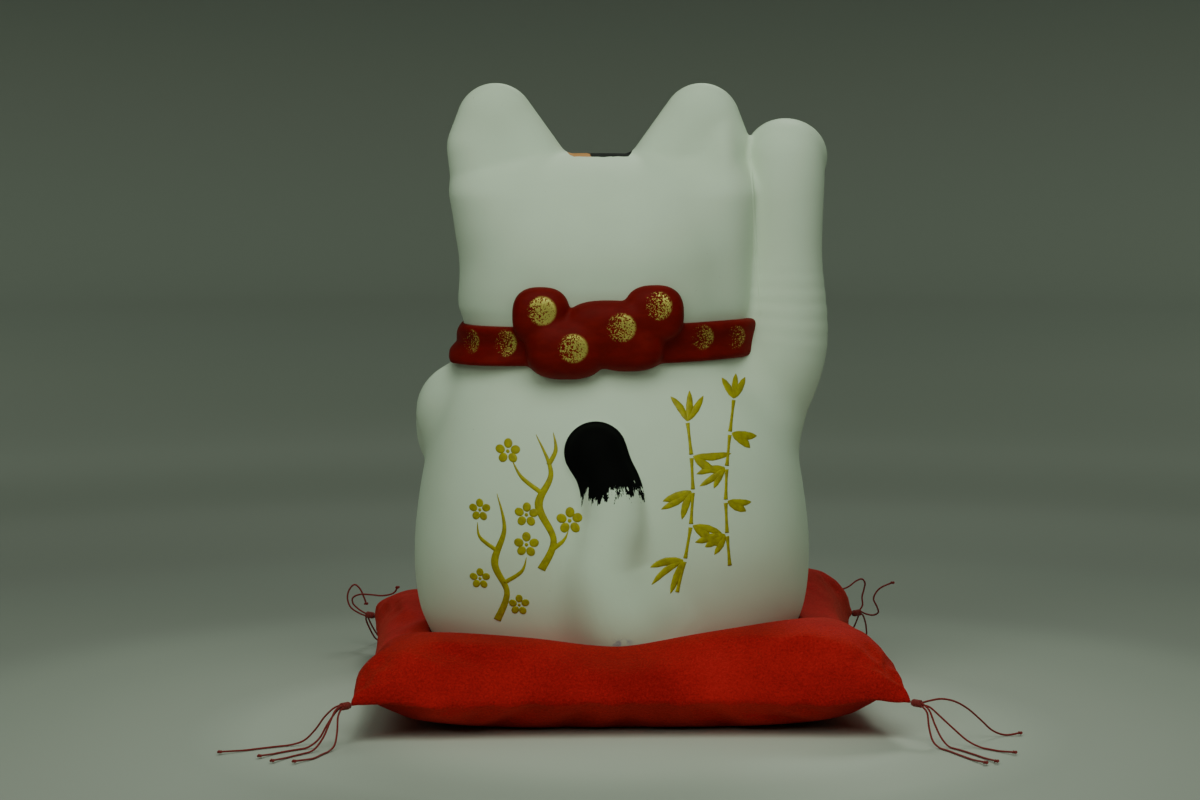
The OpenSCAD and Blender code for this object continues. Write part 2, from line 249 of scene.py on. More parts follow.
def bisque_material():
    """White unglazed ceramic with its brushed-on colours and a bluish smudge: the attributes say where each
    one lies.
    """
    material, tree, shader = new_material("white_bisque")
    here = object_coords(tree)
    clouds = noise(tree, here, 22, 3)
    colour = mix_colour(tree, step_up(tree, clouds, 0.3, 0.75), BISQUE, BISQUE_WARM)
    specks = step_up(tree, noise(tree, here, 520, 1), 0.79, 0.83)
    colour = mix_colour(tree, times(tree, specks, 0.25), colour, CLAY_SPECK)

    # the bristles of the brush make the black of the tail ragged below, and the patches a little uneven
    bristles = noise(tree, object_coords(tree, (250, 250, 22)), 1.0, 5, 0.75)
    soft_edge = noise(tree, here, 330, 3, 0.6)
    ragged = times(tree, math_node(tree, "SUBTRACT", bristles, 0.5), BRISTLE_LENGTH)
    tail = times(
        tree, step_up(tree, plus(tree, attribute(tree, "tail_paint"), ragged), -0.25, 0.25),
        step_up(tree, attribute(tree, "on_tail"), -0.15, 0.15),
    )
    roughen = times(tree, math_node(tree, "SUBTRACT", soft_edge, 0.5), PATCH_UNEVENNESS)
    black, orange = (
        step_up(tree, plus(tree, attribute(tree, name), roughen), -0.2, 0.2)
        for name in ("black_patch", "orange_patch")
    )
    inner_ear = step_up(tree, attribute(tree, "ear_paint"), -0.4, 1.6)
    # a bluish grey smudge near the foot of the tail
    bluish_smudge = times(tree, attribute(tree, "bluish_smudge"), step_up(tree, soft_edge, 0.4, 0.62))
    colour = mix_colour(tree, times(tree, bluish_smudge, 0.7), colour, BLUISH_SMUDGE_COLOUR)
    colour = mix_colour(tree, times(tree, inner_ear, 0.85), colour, EAR_PAINT)
    colour = mix_colour(tree, orange, colour, ORANGE_PAINT)
    dark = math_node(tree, "MAXIMUM", tail, black)
    rough = plus(tree, plus(tree, times(tree, clouds, 0.14), 0.50), times(tree, dark, 0.22))
    set_inputs(tree, shader, {
        "Base Color": mix_colour(tree, dark, colour, BLACK_PAINT), "Roughness": rough,
        "Specular IOR Level": 0.08, "Normal": bump(tree, noise(tree, here, 2600, 2), 0.00004, 0.5),
    })
    return material


def plain_paint(name, colour, rough=0.5):
    """Brushed pigment, slightly uneven."""
    material, tree, shader = new_material(name)
    streaks = noise(tree, object_coords(tree), 260, 4, 0.6)
    darker = tuple(c * 0.72 for c in colour[:3]) + (1,)
    set_inputs(tree, shader, {
        "Base Color": mix_colour(tree, step_up(tree, streaks, 0.3, 0.7), colour, darker),
        "Roughness": rough, "Normal": bump(tree, streaks, 0.00006, 0.5),
    })
    return material


def gold_material(name, dark, light, metallic, rough):
    """Gold pigment or leaf, with brush streaks."""
    material, tree, shader = new_material(name)
    here = object_coords(tree)
    patches = noise(tree, here, 420, 3, 0.6)
    flecks = noise(tree, here, 2200, 2, 0.6)
    set_inputs(tree, shader, {
        "Base Color": mix_colour(tree, step_up(tree, patches, 0.3, 0.7), dark, light),
        "Metallic": metallic, "Roughness": plus(tree, times(tree, flecks, 0.25), rough - 0.12),
        "Normal": bump(tree, flecks, 0.00008, 0.5),
    })
    return material


def collar_material():
    """Matte red pigment, with dabs of gold printed on by the attributes dab and dab_gold."""
    material, tree, shader = new_material("red_relief")
    here = object_coords(tree)
    brushed = noise(tree, object_coords(tree, (110, 110, 240)), 1.0, 4, 0.6)
    colour = mix_colour(tree, step_up(tree, brushed, 0.3, 0.75), RED_PAINT, RED_PAINT_LIGHT)
    # flecks of gold leaf, closer together on one side of each dab
    flecks = noise(tree, here, 1500, 2.5, 0.6, 0.6)
    edge = step_up(tree, attribute(tree, "dab"), 1.12, 0.86)
    cover = step_up(tree, plus(tree, flecks, attribute(tree, "dab_gold")), 1.00, 1.05)
    gold = times(tree, edge, cover)
    set_inputs(tree, shader, {
        "Base Color": mix_colour(tree, gold, colour, GOLD_LEAF_LIGHT),
        "Metallic": times(tree, gold, 0.75),
        "Roughness": math_node(tree, "SUBTRACT", 0.62, times(tree, gold, 0.22)),
        "Specular IOR Level": 0.12,
        "Normal": bump(tree, plus(tree, times(tree, gold, 0.6), brushed), 0.00012, 0.6),
    })
    return material


def cloth_material():
    """Red crepe: a close irregular grain, slightly furry."""
    material, tree, shader = new_material("red_cloth")
    here = object_coords(tree)
    grain = noise(tree, here, 1150, 3, 0.7, 0.4)
    slubs = noise(tree, object_coords(tree, (240, 900, 500)), 1.0, 2)
    mottle = plus(tree, times(tree, grain, 0.55), times(tree, noise(tree, here, 26, 3), 0.45))
    height = plus(tree, grain, times(tree, slubs, 0.5))
    set_inputs(tree, shader, {
        "Base Color": mix_colour(tree, step_up(tree, mottle, 0.32, 0.7), CLOTH_DEEP, CLOTH_RED),
        "Roughness": 0.95, "Specular IOR Level": 0.15,
        "Sheen Weight": 0.22, "Sheen Roughness": 0.45, "Sheen Tint": CLOTH_SHEEN,
        "Normal": bump(tree, height, 0.0007, 0.9),
    })
    return material


def thread_material():
    """Dark red twisted yarn."""
    material, tree, shader = new_material("red_thread")
    fibres = noise(tree, object_coords(tree), 3200, 3, 0.7)
    set_inputs(tree, shader, {
        "Base Color": mix_colour(tree, fibres, YARN_DARK, YARN_LIGHT), "Roughness": 0.8,
        "Sheen Weight": 0.15, "Normal": bump(tree, fibres, 0.0001, 0.6),
    })
    return material


bisque = bisque_material()
collar_paint = collar_material()
gold_leaf = gold_material("gold_leaf", GOLD_LEAF, GOLD_LEAF_LIGHT, 0.8, 0.36)
gold_brush = gold_material("gold_brush", GOLD_BRUSH, GOLD_BRUSH_LIGHT, 0.1, 0.55)
black_line = plain_paint("black_line", (0.008, 0.008, 0.008, 1), 0.42)
red_line = plain_paint("red_line", (0.42, 0.03, 0.02, 1), 0.5)
iris_paint = plain_paint("iris_paint", (0.66, 0.42, 0.06, 1), 0.4)
eye_white = plain_paint("eye_white", (0.85, 0.85, 0.82, 1), 0.4)
cloth = cloth_material()
yarn = thread_material()

# ---- tassel threads, repeated from the model ----

HALF = 111.0                     # half the distance between neighbouring corners of the cushion
KNOT_AT = HALF + 1.6
KNOT_Z = 15.4
KNOT_LENGTH = 5.0
THREAD_D = 0.8
WHIPPING_R = 1.15                # of the winding's middle line, and of its yarn
WHIPPING_YARN_R = 0.4
END_KNOT_R = 0.8                 # of the knot at a thread's end, and of its yarn
END_KNOT_YARN_R = 0.36
CORNERS = [(1, 1), (-1, 1), (1, -1), (-1, -1)]
THREAD_SEATS = [(-0.55, 0.55), (-0.55, -0.55), (0.55, 0.55), (0.55, -0.55)]
THREAD_WAYS = [
    [
        [[117, 115.5, 15], [120.5, 115, 11.5], [124, 113.5, 6.5], [128.5, 112.8, 2],
         [134, 114.5, 0.5], [141, 118, 0.4], [150, 123.5, 0.4], [160, 130, 1.1]],
        [[116.5, 116, 13], [119.5, 117, 8.5], [122.5, 118.2, 3.5], [127, 120.5, 0.6],
         [133, 125, 0.4], [139, 131, 0.4], [144, 138, 1.1]],
        [[116, 117, 14.5], [118, 120, 10.5], [120.5, 123, 5], [124, 127, 1],
         [128.5, 132, 0.4], [133.5, 138.5, 0.4], [138.5, 147, 1.1]],
        [[115, 116.8, 12], [115.2, 119.5, 7], [116, 122.5, 2.2], [118, 127, 0.5],
         [120.5, 133, 0.4], [123.5, 140.5, 0.4], [130, 148.5, 1.1]],
    ],
    [
        [[-116.6, 116.6, 13.5], [-118.5, 119, 8.5], [-120.8, 121.8, 3.5], [-123.5, 125.5, 0.6],
         [-127, 131, 0.4], [-130.5, 138, 0.4], [-134, 146, 0.4], [-137.5, 155.5, 1.1]],
        [[-115.8, 117, 12.5], [-116.2, 119.8, 7.5], [-117.3, 122.8, 2.6], [-119.5, 127, 0.5],
         [-122.5, 133, 0.4], [-125.5, 140.5, 0.4], [-129, 149, 0.4], [-133, 158, 1.1]],
        [[-117.5, 115, 17], [-122, 114.5, 17.5], [-127.5, 112.5, 16], [-133, 109.5, 12.5],
         [-138.5, 106.5, 7.5], [-143.5, 104, 2.8], [-149, 102, 0.5], [-155, 101, 1.1]],
        [[-117, 116.2, 14.5], [-121, 117.5, 11], [-126, 119.5, 6.5], [-131, 122.5, 2.4],
         [-136, 127, 0.5], [-141.5, 133, 0.4], [-147, 139, 1.1]],
    ],
    [
        [[114.6, -117.2, 12.8], [113, -121, 7.5], [110.5, -125.5, 2.2], [107.5, -131, 0.5],
         [104, -137.5, 0.4], [100, -144, 0.4], [95.5, -150.5, 1.1]],
        [[113, -117, 12], [110.5, -120, 6.5], [107.5, -124, 1.8], [104, -129, 0.5],
         [99.5, -135, 0.4], [94.5, -141, 0.4], [89, -147, 1.1]],
        [[117.5, -116.5, 17.2], [120.5, -117, 20], [120.5, -116, 23], [117, -114, 24.8],
         [112, -111.5, 25], [106.5, -108.5, 25], [101.5, -106, 26.5], [99.5, -104.5, 29.5]],
        [[118, -117.5, 15.6], [121.8, -118.5, 18.2], [123.2, -118.8, 22.5], [122.2, -118.5, 26.5],
         [119.8, -118, 28.8], [117.4, -117.3, 27], [115.6, -116.5, 23.5], [114.4, -115.8, 20.2]],
    ],
    [
        [[-117.2, -117.2, 14.2], [-120.8, -118.4, 13.4], [-123, -116.6, 15], [-122, -114.4, 18.2],
         [-120.4, -113.6, 21.6], [-121.6, -113.2, 25], [-124.2, -113, 27.4], [-129, -113, 29.4]],
        [[-116.2, -117.6, 13], [-117.6, -120.6, 9], [-118.4, -124, 4.4], [-118.6, -128.4, 1],
         [-118, -134, 0.4], [-116.6, -140.5, 0.4], [-114.6, -147, 1.1]],
        [[-115.6, -116.4, 18.4], [-115.4, -117, 22], [-116.2, -116.8, 25.6], [-116.6, -115.6, 28.8],
         [-115, -114.2, 31], [-112, -112.8, 30.2], [-108.5, -110.8, 28], [-104.5, -108, 27.2],
         [-100, -105.5, 29]],
        [[-113.6, -117.2, 12.6], [-112, -120.8, 7.2], [-109.6, -125, 2], [-106.6, -130.5, 0.5],
         [-103, -137, 0.4], [-99, -143.5, 0.4], [-94.5, -150, 1.1]],
    ],
]


def corner_axes(c):
    """Middle of a corner's whipping, the direction outwards and the direction across it."""
    sx, sy = CORNERS[c]
    middle = np.array([sx * KNOT_AT, sy * KNOT_AT, KNOT_Z])
    return middle, np.array([sx, sy, 0]) / math.sqrt(2), np.array([-sy, sx, 0]) / math.sqrt(2)


def trefoil_points(middle, radius):
    """A closed line tied in a small overhand knot."""
    t = circle(36)
    shape = np.stack([np.sin(t) + 2 * np.sin(2 * t), np.cos(t) - 2 * np.cos(2 * t), -np.sin(3 * t)], 1)
    return middle + shape / 3 * radius


def tube_mesh(points, radius, sides=8, closed=False):
    """Points and faces of a tube along a line; radius is a number or one for each point."""
    p = np.asarray(points, float)
    radius = np.broadcast_to(radius, len(p))
    if closed:
        ahead = np.roll(p, -1, 0) - np.roll(p, 1, 0)
    else:
        ahead = np.gradient(p, axis=0)
    ahead /= np.linalg.norm(ahead, axis=1)[:, None]
    side = np.array([0.3, 0.2, 1.0])
    rows = []
    for point, direction, r in zip(p, ahead, radius):
        side = side - direction * (side @ direction)
        side /= np.linalg.norm(side)
        other = np.cross(direction, side)
        for a in circle(sides):
            rows.append(point + r * (math.cos(a) * side + math.sin(a) * other))
    return np.array(rows), turned(ring_faces(len(p), sides, closed))


def join(parts):
    """One set of points and faces from several."""
    points, faces, first = [], [], 0
    for part_points, part_faces in parts:
        points.append(part_points)
        faces += [[i + first for i in f] for f in part_faces]
        first += len(part_points)
    return np.concatenate(points), faces


def make_thread(c, t):
    middle, outward, across = corner_axes(c)
    seat = THREAD_SEATS[t]
    start = middle + outward * (KNOT_LENGTH / 2 - 0.3) + across * seat[0] + np.array([0, 0, seat[1]])
    line = catmull([start] + THREAD_WAYS[c][t], 1.2)
    line[:, 2] = np.maximum(line[:, 2], THREAD_D / 2)
    name = f"tassel_thread_{c + 1}_{t + 1}"
    curve = bpy.data.curves.new(name, "CURVE")
    curve.dimensions = "3D"
    curve.bevel_depth = THREAD_D / 2 * MM
    curve.bevel_resolution = 2
    curve.use_fill_caps = True
    spline = curve.splines.new("POLY")
    spline.points.add(len(line) - 1)
    spline.points.foreach_set("co", np.c_[line * MM, np.ones(len(line))].ravel())
    spline.use_smooth = True
    curve.materials.append(yarn)
    thread = bpy.data.objects.new(name, curve)
    bpy.context.scene.collection.objects.link(thread)
    knot = make_object(
        f"thread_knot_{c + 1}_{t + 1}",
        *tube_mesh(trefoil_points(line[-1], END_KNOT_R), END_KNOT_YARN_R, 6, True), yarn,
    )
    place(thread, "cushion", [f"thread_{c + 1}_{t + 1}"])
    place(knot, "cushion", [f"thread_ends_{c + 1}"])


def make_whipping(c):
    """Thread wound round a corner of the cushion, over its gathered cloth."""
    middle, outward, across = corner_axes(c)
    turns, per_turn = 5, 24
    t = np.linspace(0, turns, turns * per_turn)
    angle = 2 * math.pi * t
    along = (t / turns - 0.5) * (KNOT_LENGTH - 1.0)
    up = np.array([0, 0, 1.0])
    wound = (
        middle + outward * along[:, None]
        + WHIPPING_R * (np.cos(angle)[:, None] * across + np.sin(angle)[:, None] * up)
    )
    core_z = np.array([-0.5, -0.3, 0, 0.3, 0.46, 0.5]) * KNOT_LENGTH
    core_r = [1.3, 1.1, 1.0, 1.0, 0.9, 0.5]
    core = tube_mesh(middle + outward * core_z[:, None], core_r, 16)
    points, faces = join([tube_mesh(wound, WHIPPING_YARN_R, 8), core])
    knot = make_object(f"corner_whipping_{c + 1}", points, faces, yarn)
    place(knot, "cushion", [f"corner_knot_{c + 1}"])


for corner in range(4):
    make_whipping(corner)
    for strand in range(4):
        make_thread(corner, strand)

# ---- the cat's form, as a function of place that is negative inside ----

SEAT_Z = 19.0                    # height of the underside of the cat's base
HEAD_X = 10.0
BODY_X = 4.5
POWER = 2.35                     # 2 is an ellipse and a larger value is boxier

# Cross-sections from the base up: height, middle x, half width, depth to the front and to the back
SECTIONS = np.array([
    [0, 4.5, 70, 58, 53], [4, 4.5, 74, 62, 57], [11, 4.5, 78, 66, 61], [20, 4.5, 81.5, 67, 64],
    [34, 4.5, 83.5, 67, 66], [50, 4.5, 83.5, 66, 66.5], [68, 4.5, 81.5, 64, 64],
    [84, 4.5, 78.5, 61, 60], [98, 5.5, 74, 58, 55], [110, 7.5, 68, 54, 49], [120, 9, 61.5, 49, 44],
    [131, 10, 56.0, 46, 42], [141, 10, 57.4, 49.6, 43.6], [147, 10, 59.2, 51.6, 44.6],
    [156, 10, 58.9, 54, 46], [170, 9.5, 57.4, 55, 46],
    [184, 10, 56, 53, 44], [196, 10, 55, 49, 41], [210, 10, 51, 43, 36], [226, 10, 47, 38, 32],
])
CROWN_Z = 210.6
CROWN_FALL = (0.0012, 0.0045)    # how fast the crown falls away sideways, and to the front and back
CROWN_ROUND = 36.0               # reach of the wide fillet between the crown and the sides of the head

RAISED_ARM = [
    [-58, -2, 106, 21], [-66, 0, 131, 21], [-67.5, 0, 168, 17], [-69, -2, 203, 16.6],
    [-68.5, -6, 208.5, 16.5], [-68.5, -21, 206, 15.5], [-68.5, -28, 194, 13],
]
LEFT_ARM = [[65.6, -6, 100.5, 22], [69, -36, 85, 16.8], [52, -60, 76, 15], [34, -70, 78, 14]]
FOOT = [[34, -40, 18, 17], [38, -66, 14, 13]]     # x counted from the middle of the body
TAIL = [
    [-2, 52, 12, 23.5], [2, 57.5, 22, 21], [6.5, 60.5, 32, 18], [9, 62, 41, 15.6],
    [8, 62, 50, 14.3], [5.5, 60.5, 61, 13.8], [6.3, 58.5, 73, 12.9], [9.3, 56, 81.5, 12.2],
    [12.6, 53, 88.5, 13.2],
]
# Corners of the ear's middle plane, as seen from the front, before it is given its thickness
EAR = [[43.4, 223.5], [47.4, 213], [46.4, 204], [38.5, 188], [21.5, 193]]
EAR_ROUND = 16.5
EAR_HALF_T = (15.5, 10.0)        # half thickness at its foot and at its tip
INNER_EAR = [[43.5, 221], [45, 205], [29, 203]]
INNER_EAR_ROUND = 7.5
DRAIN_R = 8.0                    # hole in the underside, through which the slip was poured out
DRAIN_DEPTH = 30.0
LEFT_ARM_PIECES = 14             # pieces between its balls, close enough not to show


def blend_min(a, b, reach):
    """The lower of two distances, with a fillet where they are nearly equal."""
    h = np.clip(0.5 + 0.5 * (b - a) / reach, 0, 1)
    return b + (a - b) * h - reach * h * (1 - h)


def blend_max(a, b, reach):
    return -blend_min(-a, -b, reach)


def ease(value, low, high):
    """0 up to low and 1 from high on, smooth between; low may be the larger one."""
    t = np.clip((value - low) / (high - low), 0, 1)
    return t * t * (3 - 2 * t)


def section_table(step=0.5):
    """The cross-sections sampled closely on smooth curves through their rows."""
    z = SECTIONS[:, 0]
    rows = SECTIONS[:, 1:]
    lower, upper = np.maximum(np.arange(len(z)) - 1, 0), np.minimum(np.arange(len(z)) + 1, len(z) - 1)
    slopes = (rows[upper] - rows[lower]) / (z[upper] - z[lower])[:, None]
    at = np.arange(z[0], z[-1] + step / 2, step)
    i = np.clip(np.searchsorted(z, at, "right") - 1, 0, len(z) - 2)
    h = (z[i + 1] - z[i])[:, None]
    u = (at - z[i])[:, None] / h
    values = (
        (2 * u**3 - 3 * u**2 + 1) * rows[i] + (u**3 - 2 * u**2 + u) * h * slopes[i]
        + (3 * u**2 - 2 * u**3) * rows[i + 1] + (u**3 - u**2) * h * slopes[i + 1]
    )
    return at, values.T


TABLE_Z, TABLE = section_table()


def trunk(p):
    """Body and head, without ears and limbs."""
    x, y, z = p.T
    middle, half, front, back = (np.interp(z, TABLE_Z, column) for column in TABLE)
    depth = np.where(y < 0, front, back)
    u = np.abs(x - middle) / half
    v = np.abs(y) / depth
    total = np.maximum(u**POWER + v**POWER, 1e-6)
    r = total ** (1 / POWER)
    slope = total ** (1 / POWER - 1) * np.hypot(u ** (POWER - 1) / half, v ** (POWER - 1) / depth)
    side = (r - 1) / np.maximum(slope, 1e-3)
    dome = CROWN_Z - CROWN_FALL[0] * (x - HEAD_X) ** 2 - CROWN_FALL[1] * (y + 4) ** 2
    capped = blend_max(side, (z - dome) * 0.97, CROWN_ROUND)
    return blend_max(capped, -z, 4)


def lump(p, middle, radii):
    """An ellipsoid."""
    q = p - np.asarray(middle, float)
    k0 = np.linalg.norm(q / radii, axis=1)
    k1 = np.linalg.norm(q / np.square(radii), axis=1)
    return k0 * (k0 - 1) / np.maximum(k1, 1e-6)


def cushiony(p, middle, radii, power=2.6):
    """A lump with flatter faces and rounder corners than an ellipsoid."""
    q = np.abs(p - np.asarray(middle, float)) / radii
    total = np.maximum((q**power).sum(1), 1e-6)
    r = total ** (1 / power)
    slope = total ** (1 / power - 1) * np.linalg.norm(q ** (power - 1) / radii, axis=1)
    return (r - 1) / np.maximum(slope, 1e-3)


def limb(p, balls, pieces_each=6):
    """A limb through balls x, y, z, radius, as a row of short tapered pieces."""
    fine = catmull(balls, count=pieces_each)
    best = np.full(len(p), 1e3, p.dtype)
    for a, b in zip(fine, fine[1:]):
        way = b[:3] - a[:3]
        q = p - a[:3]
        t = np.clip(q @ way / (way @ way), 0, 1)
        best = np.minimum(
            best, np.linalg.norm(q - t[:, None] * way, axis=1) - (a[3] + t * (b[3] - a[3]))
        )
    return best


def outside_polygon(x, z, corners):
    """Distance to a convex polygon given clockwise or not; 0 inside it."""
    best = np.full(len(x), 1e6)
    inside = np.ones(len(x), bool)
    area = sum(a[0] * b[1] - b[0] * a[1] for a, b in zip(corners, corners[1:] + corners[:1]))
    for a, b in zip(corners, corners[1:] + corners[:1]):
        ex, ez = b[0] - a[0], b[1] - a[1]
        px, pz = x - a[0], z - a[1]
        t = np.clip((px * ex + pz * ez) / (ex * ex + ez * ez), 0, 1)
        best = np.minimum(best, np.hypot(px - t * ex, pz - t * ez))
        inside &= (ex * pz - ez * px) * np.sign(area) > 0
    return np.where(inside, 0, best)


def plate(x, y, z, corners, edge, thickness):
    """A rounded plate around a polygon in x and z, with its own half thickness along y."""
    flat = outside_polygon(x, z, corners)
    s = edge / thickness
    g = np.maximum(np.sqrt(flat**2 + (y * s) ** 2), 1e-6)
    return (g - edge) * g / np.maximum(np.sqrt(flat**2 + (y * s * s) ** 2), 1e-3)


def ear(p, side):
    """A plate that gets thinner towards its tip; side is 1 for the cat's left ear."""
    x, y, z = p[:, 0] - HEAD_X, p[:, 1] + 2, p[:, 2]
    at_foot, at_tip = EAR_HALF_T
    return plate(side * x, y, z, EAR, EAR_ROUND, at_foot - (at_foot - at_tip) * ease(z, 186, 232))


def inner_ear(p, side):
    """The hollow in the front of an ear."""
    x, y, z = p[:, 0] - HEAD_X, p[:, 1], p[:, 2]
    y = y + 15.5 + 6 * ease(z, 226, 196)
    return plate(side * x, y, z, INNER_EAR, INNER_EAR_ROUND, 7.5)


def casting(p):
    """Everything of the cat but its raised arm and tail."""
    z = p[:, 2]
    d = trunk(p)
    # the web between the head and the raised arm
    d = blend_min(d, lump(p, [-42, -2, 166], [13.5, 24, 60]), 14)
    ear_blend = 24 - 21 * ease(z, 192, 211)
    for side in (1, -1):
        d = blend_min(d, ear(p, side), ear_blend)
    # muzzle and cheeks, nose and chin
    for side in (1, -1):
        d = blend_min(d, lump(p, [HEAD_X + side * 9.5, -48, 150], [12.5, 10.5, 10]), 6)
        d = blend_min(d, lump(p, [HEAD_X + side * 31, -32, 152], [21, 21, 18]), 12)
    d = blend_min(d, lump(p, [HEAD_X, -56.5, 159], [5.5, 5, 4]), 4)
    d = blend_min(d, lump(p, [HEAD_X, -46, 142], [9, 7, 6]), 5)
    for side in (1, -1):
        d = blend_max(d, -inner_ear(p, side), 3)
    d = blend_min(d, limb(p, LEFT_ARM, LEFT_ARM_PIECES), 7)
    for side in (1, -1):
        foot = [[BODY_X + side * x, y, z_at, r] for x, y, z_at, r in FOOT]
        d = blend_min(d, limb(p, foot), 6)
    drain = np.maximum(np.hypot(p[:, 0] - BODY_X, p[:, 1]) - DRAIN_R, z - DRAIN_DEPTH)
    return blend_max(d, -drain, 1.5)


def raised_arm(p):
    return blend_min(limb(p, RAISED_ARM), lump(p, [-71.2, -8, 209], [16, 14, 15.6]), 1.5)


def cat(p):
    """The whole figure, with its arm and tail luted on and its underside flat."""
    z = p[:, 2]
    arm_blend = 14 - 10.5 * ease(z, 108, 150)
    d = blend_min(casting(p), raised_arm(p), arm_blend)
    tail_blend = 11 - 8 * ease(z, 20, 72)
    return blend_max(blend_min(d, limb(p, TAIL), tail_blend), -z, 3)


def axis_points(low, step, counts):
    """All points of a grid."""
    grids = np.meshgrid(*[low[i] + step * np.arange(counts[i]) for i in range(3)], indexing="ij")
    return np.stack([g.ravel() for g in grids], 1)


def stretch(values, axis, times):
    """Values between those of a grid, along one axis."""
    at = np.arange((values.shape[axis] - 1) * times + 1) / times
    i = np.minimum(at.astype(int), values.shape[axis] - 2)
    share = (at - i).reshape([-1 if k == axis else 1 for k in range(3)])
    return np.take(values, i, axis) * (1 - share) + np.take(values, i + 1, axis) * share


COARSE = 4                       # how much wider the first grid is than the final one


def surface_net(field, low, high, step):
    """Points and quads of the surface where a field is zero, by the method of surface nets."""
    low = np.asarray(low, float)
    counts = np.ceil((np.asarray(high) - low) / (step * COARSE)).astype(int) + 1
    values = field(axis_points(low, step * COARSE, counts)).reshape(counts)
    for axis in range(3):
        values = stretch(values, axis, COARSE)
    near = np.argwhere(np.abs(values) < 2.2 * COARSE * step)
    values[tuple(near.T)] = field(low + step * near)

    inside = values < 0
    size = np.array(values.shape) - 1
    offsets = [np.array([i, j, k]) for i in (0, 1) for j in (0, 1) for k in (0, 1)]
    total = sum(
        inside[o[0]:o[0] + size[0], o[1]:o[1] + size[1], o[2]:o[2] + size[2]].astype(np.int8)
        for o in offsets
    )
    active = (total > 0) & (total < 8)
    cells = np.argwhere(active)
    index = np.full(active.shape, -1)
    index[active] = np.arange(len(cells))
    place_sum = np.zeros((len(cells), 3))
    hits = np.zeros(len(cells))
    units = np.eye(3, dtype=int)
    for axis in range(3):
        for offset in offsets:
            if offset[axis]:
                continue
            a = cells + offset
            fa, fb = values[tuple(a.T)], values[tuple((a + units[axis]).T)]
            crossed = (fa < 0) != (fb < 0)
            t = fa[crossed] / (fa[crossed] - fb[crossed])
            place_sum[crossed] += a[crossed] + t[:, None] * units[axis]
            hits[crossed] += 1
    points = low + step * place_sum / hits[:, None]

    quads = []
    for axis in range(3):
        eu, ev = units[(axis + 1) % 3], units[(axis + 2) % 3]
        lower = np.take(inside, np.arange(size[axis]), axis)
        upper = np.take(inside, np.arange(1, size[axis] + 1), axis)
        edges = np.argwhere(lower != upper)
        starts_inside = inside[tuple(edges.T)]
        ring = np.stack([index[tuple((edges - o).T)] for o in (eu + ev, ev, 0 * ev, eu)], 1)
        quads.append(np.where(starts_inside[:, None], ring, ring[:, ::-1]))
    return points, np.concatenate(quads)


def gradient(field, points, reach=0.35):
    """The direction in which a field rises, and how fast."""
    return np.stack(
        [(field(points + reach * unit) - field(points - reach * unit)) / (2 * reach)
         for unit in np.eye(3)], 1
    )


def settle(field, points, rounds=2, limit=0.8):
    """Moves points onto the surface where the field is zero."""
    for _ in range(rounds):
        slope = gradient(field, points)
        move = field(points)[:, None] * slope / np.maximum((slope**2).sum(1), 0.2)[:, None]
        points = points - np.clip(move, -limit, limit)
    return points


def up_to_seat(points):
    """From the cat's own height to the height above the floor."""
    return np.asarray(points) + [0, 0, SEAT_Z]


# Ellipsoids, middle and radii, inside which the casting is painted
BLACK_PATCH = [([0.8, -24, 211], [14.6, 62, 27]), ([-31, -22, 226], [13, 20, 24])]
ORANGE_PATCH = [([31.5, -24, 206], [21.5, 62, 27]), ([52, -22, 222], [14, 20, 26])]
EAR_MARGIN = 0.8                 # unpainted rim round the hollow of an ear
TAIL_BLACK_Z = 73.5              # where the black of the tail ends, at x = 7
TAIL_BLACK_SLOPE = 0.11
SMUDGE = ([3.5, 79.5, 15.0], [7, 9, 2.6])


def make_cat():
    step = 1.35
    points, quads = surface_net(cat, [-92, -92, -4], [94, 86, 246], step)
    points = settle(cat, points)
    obj = make_object("cat_figure", up_to_seat(points), quads, bisque)
    on_tail = np.where(points[:, 1] > 20, casting(points) - limb(points, TAIL), -4)
    set_attribute(obj, "on_tail", np.clip(on_tail, -4, 4))
    set_attribute(
        obj, "tail_paint", points[:, 2] - TAIL_BLACK_Z - TAIL_BLACK_SLOPE * (7 - points[:, 0])
    )
    recess = np.minimum(inner_ear(points, 1), inner_ear(points, -1))
    set_attribute(obj, "ear_paint", 0.6 - np.maximum(recess, points[:, 1] + 6))
    # the patches reach just over the crown, but not round to the backs of the ears
    behind = 9 - 17 * ease(np.abs(points[:, 0] - 9.6), 11.5, 15.5) - points[:, 1]
    for name, ovals in (("black_patch", BLACK_PATCH), ("orange_patch", ORANGE_PATCH)):
        depth = np.maximum(*(-lump(points, middle, radii) for middle, radii in ovals))
        set_attribute(obj, name, np.minimum(np.minimum(depth, behind), recess - EAR_MARGIN))
    # a bluish grey smudge near the foot of the tail
    from_smudge = np.linalg.norm((points - SMUDGE[0]) / SMUDGE[1], axis=1)
    set_attribute(obj, "bluish_smudge", 1 - ease(from_smudge, 0.4, 1.0))
    place(obj, "cat", ["cat_shell", "raised_arm", "tail"])
    return obj


cat_piece = make_cat()

# ---- collar and knot ----

COLLAR_Z = 132.6                 # middle of the band at the nape
COLLAR_SLOPE = 0.021
COLLAR_HALF = 8.1
COLLAR_T = 4.2
COLLAR_ROOT = 1.6                # how deep it is let into the body
COLLAR_END_X = 72.5              # where its end on the left arm's side is cut, at a slant
COLLAR_IN_ARM = 9.5              # how far its other end goes into the raised arm
# Folds of the knot at the nape: x, z, half width, half height, depth, place along y
FOLDS = [
    [34.8, 144.9, 11.8, 11.8, 8, 43.5], [-11.4, 145.7, 12.4, 11.8, 8, 43.5],
    [7.5, 139.8, 18, 11.6, 10, 43.5], [24.5, 131.2, 16.5, 12.4, 11.5, 43.5],
    [-1, 131.6, 14.5, 9.6, 9, 43.5], [13, 136.4, 21, 10, 7.5, 43.5],
]


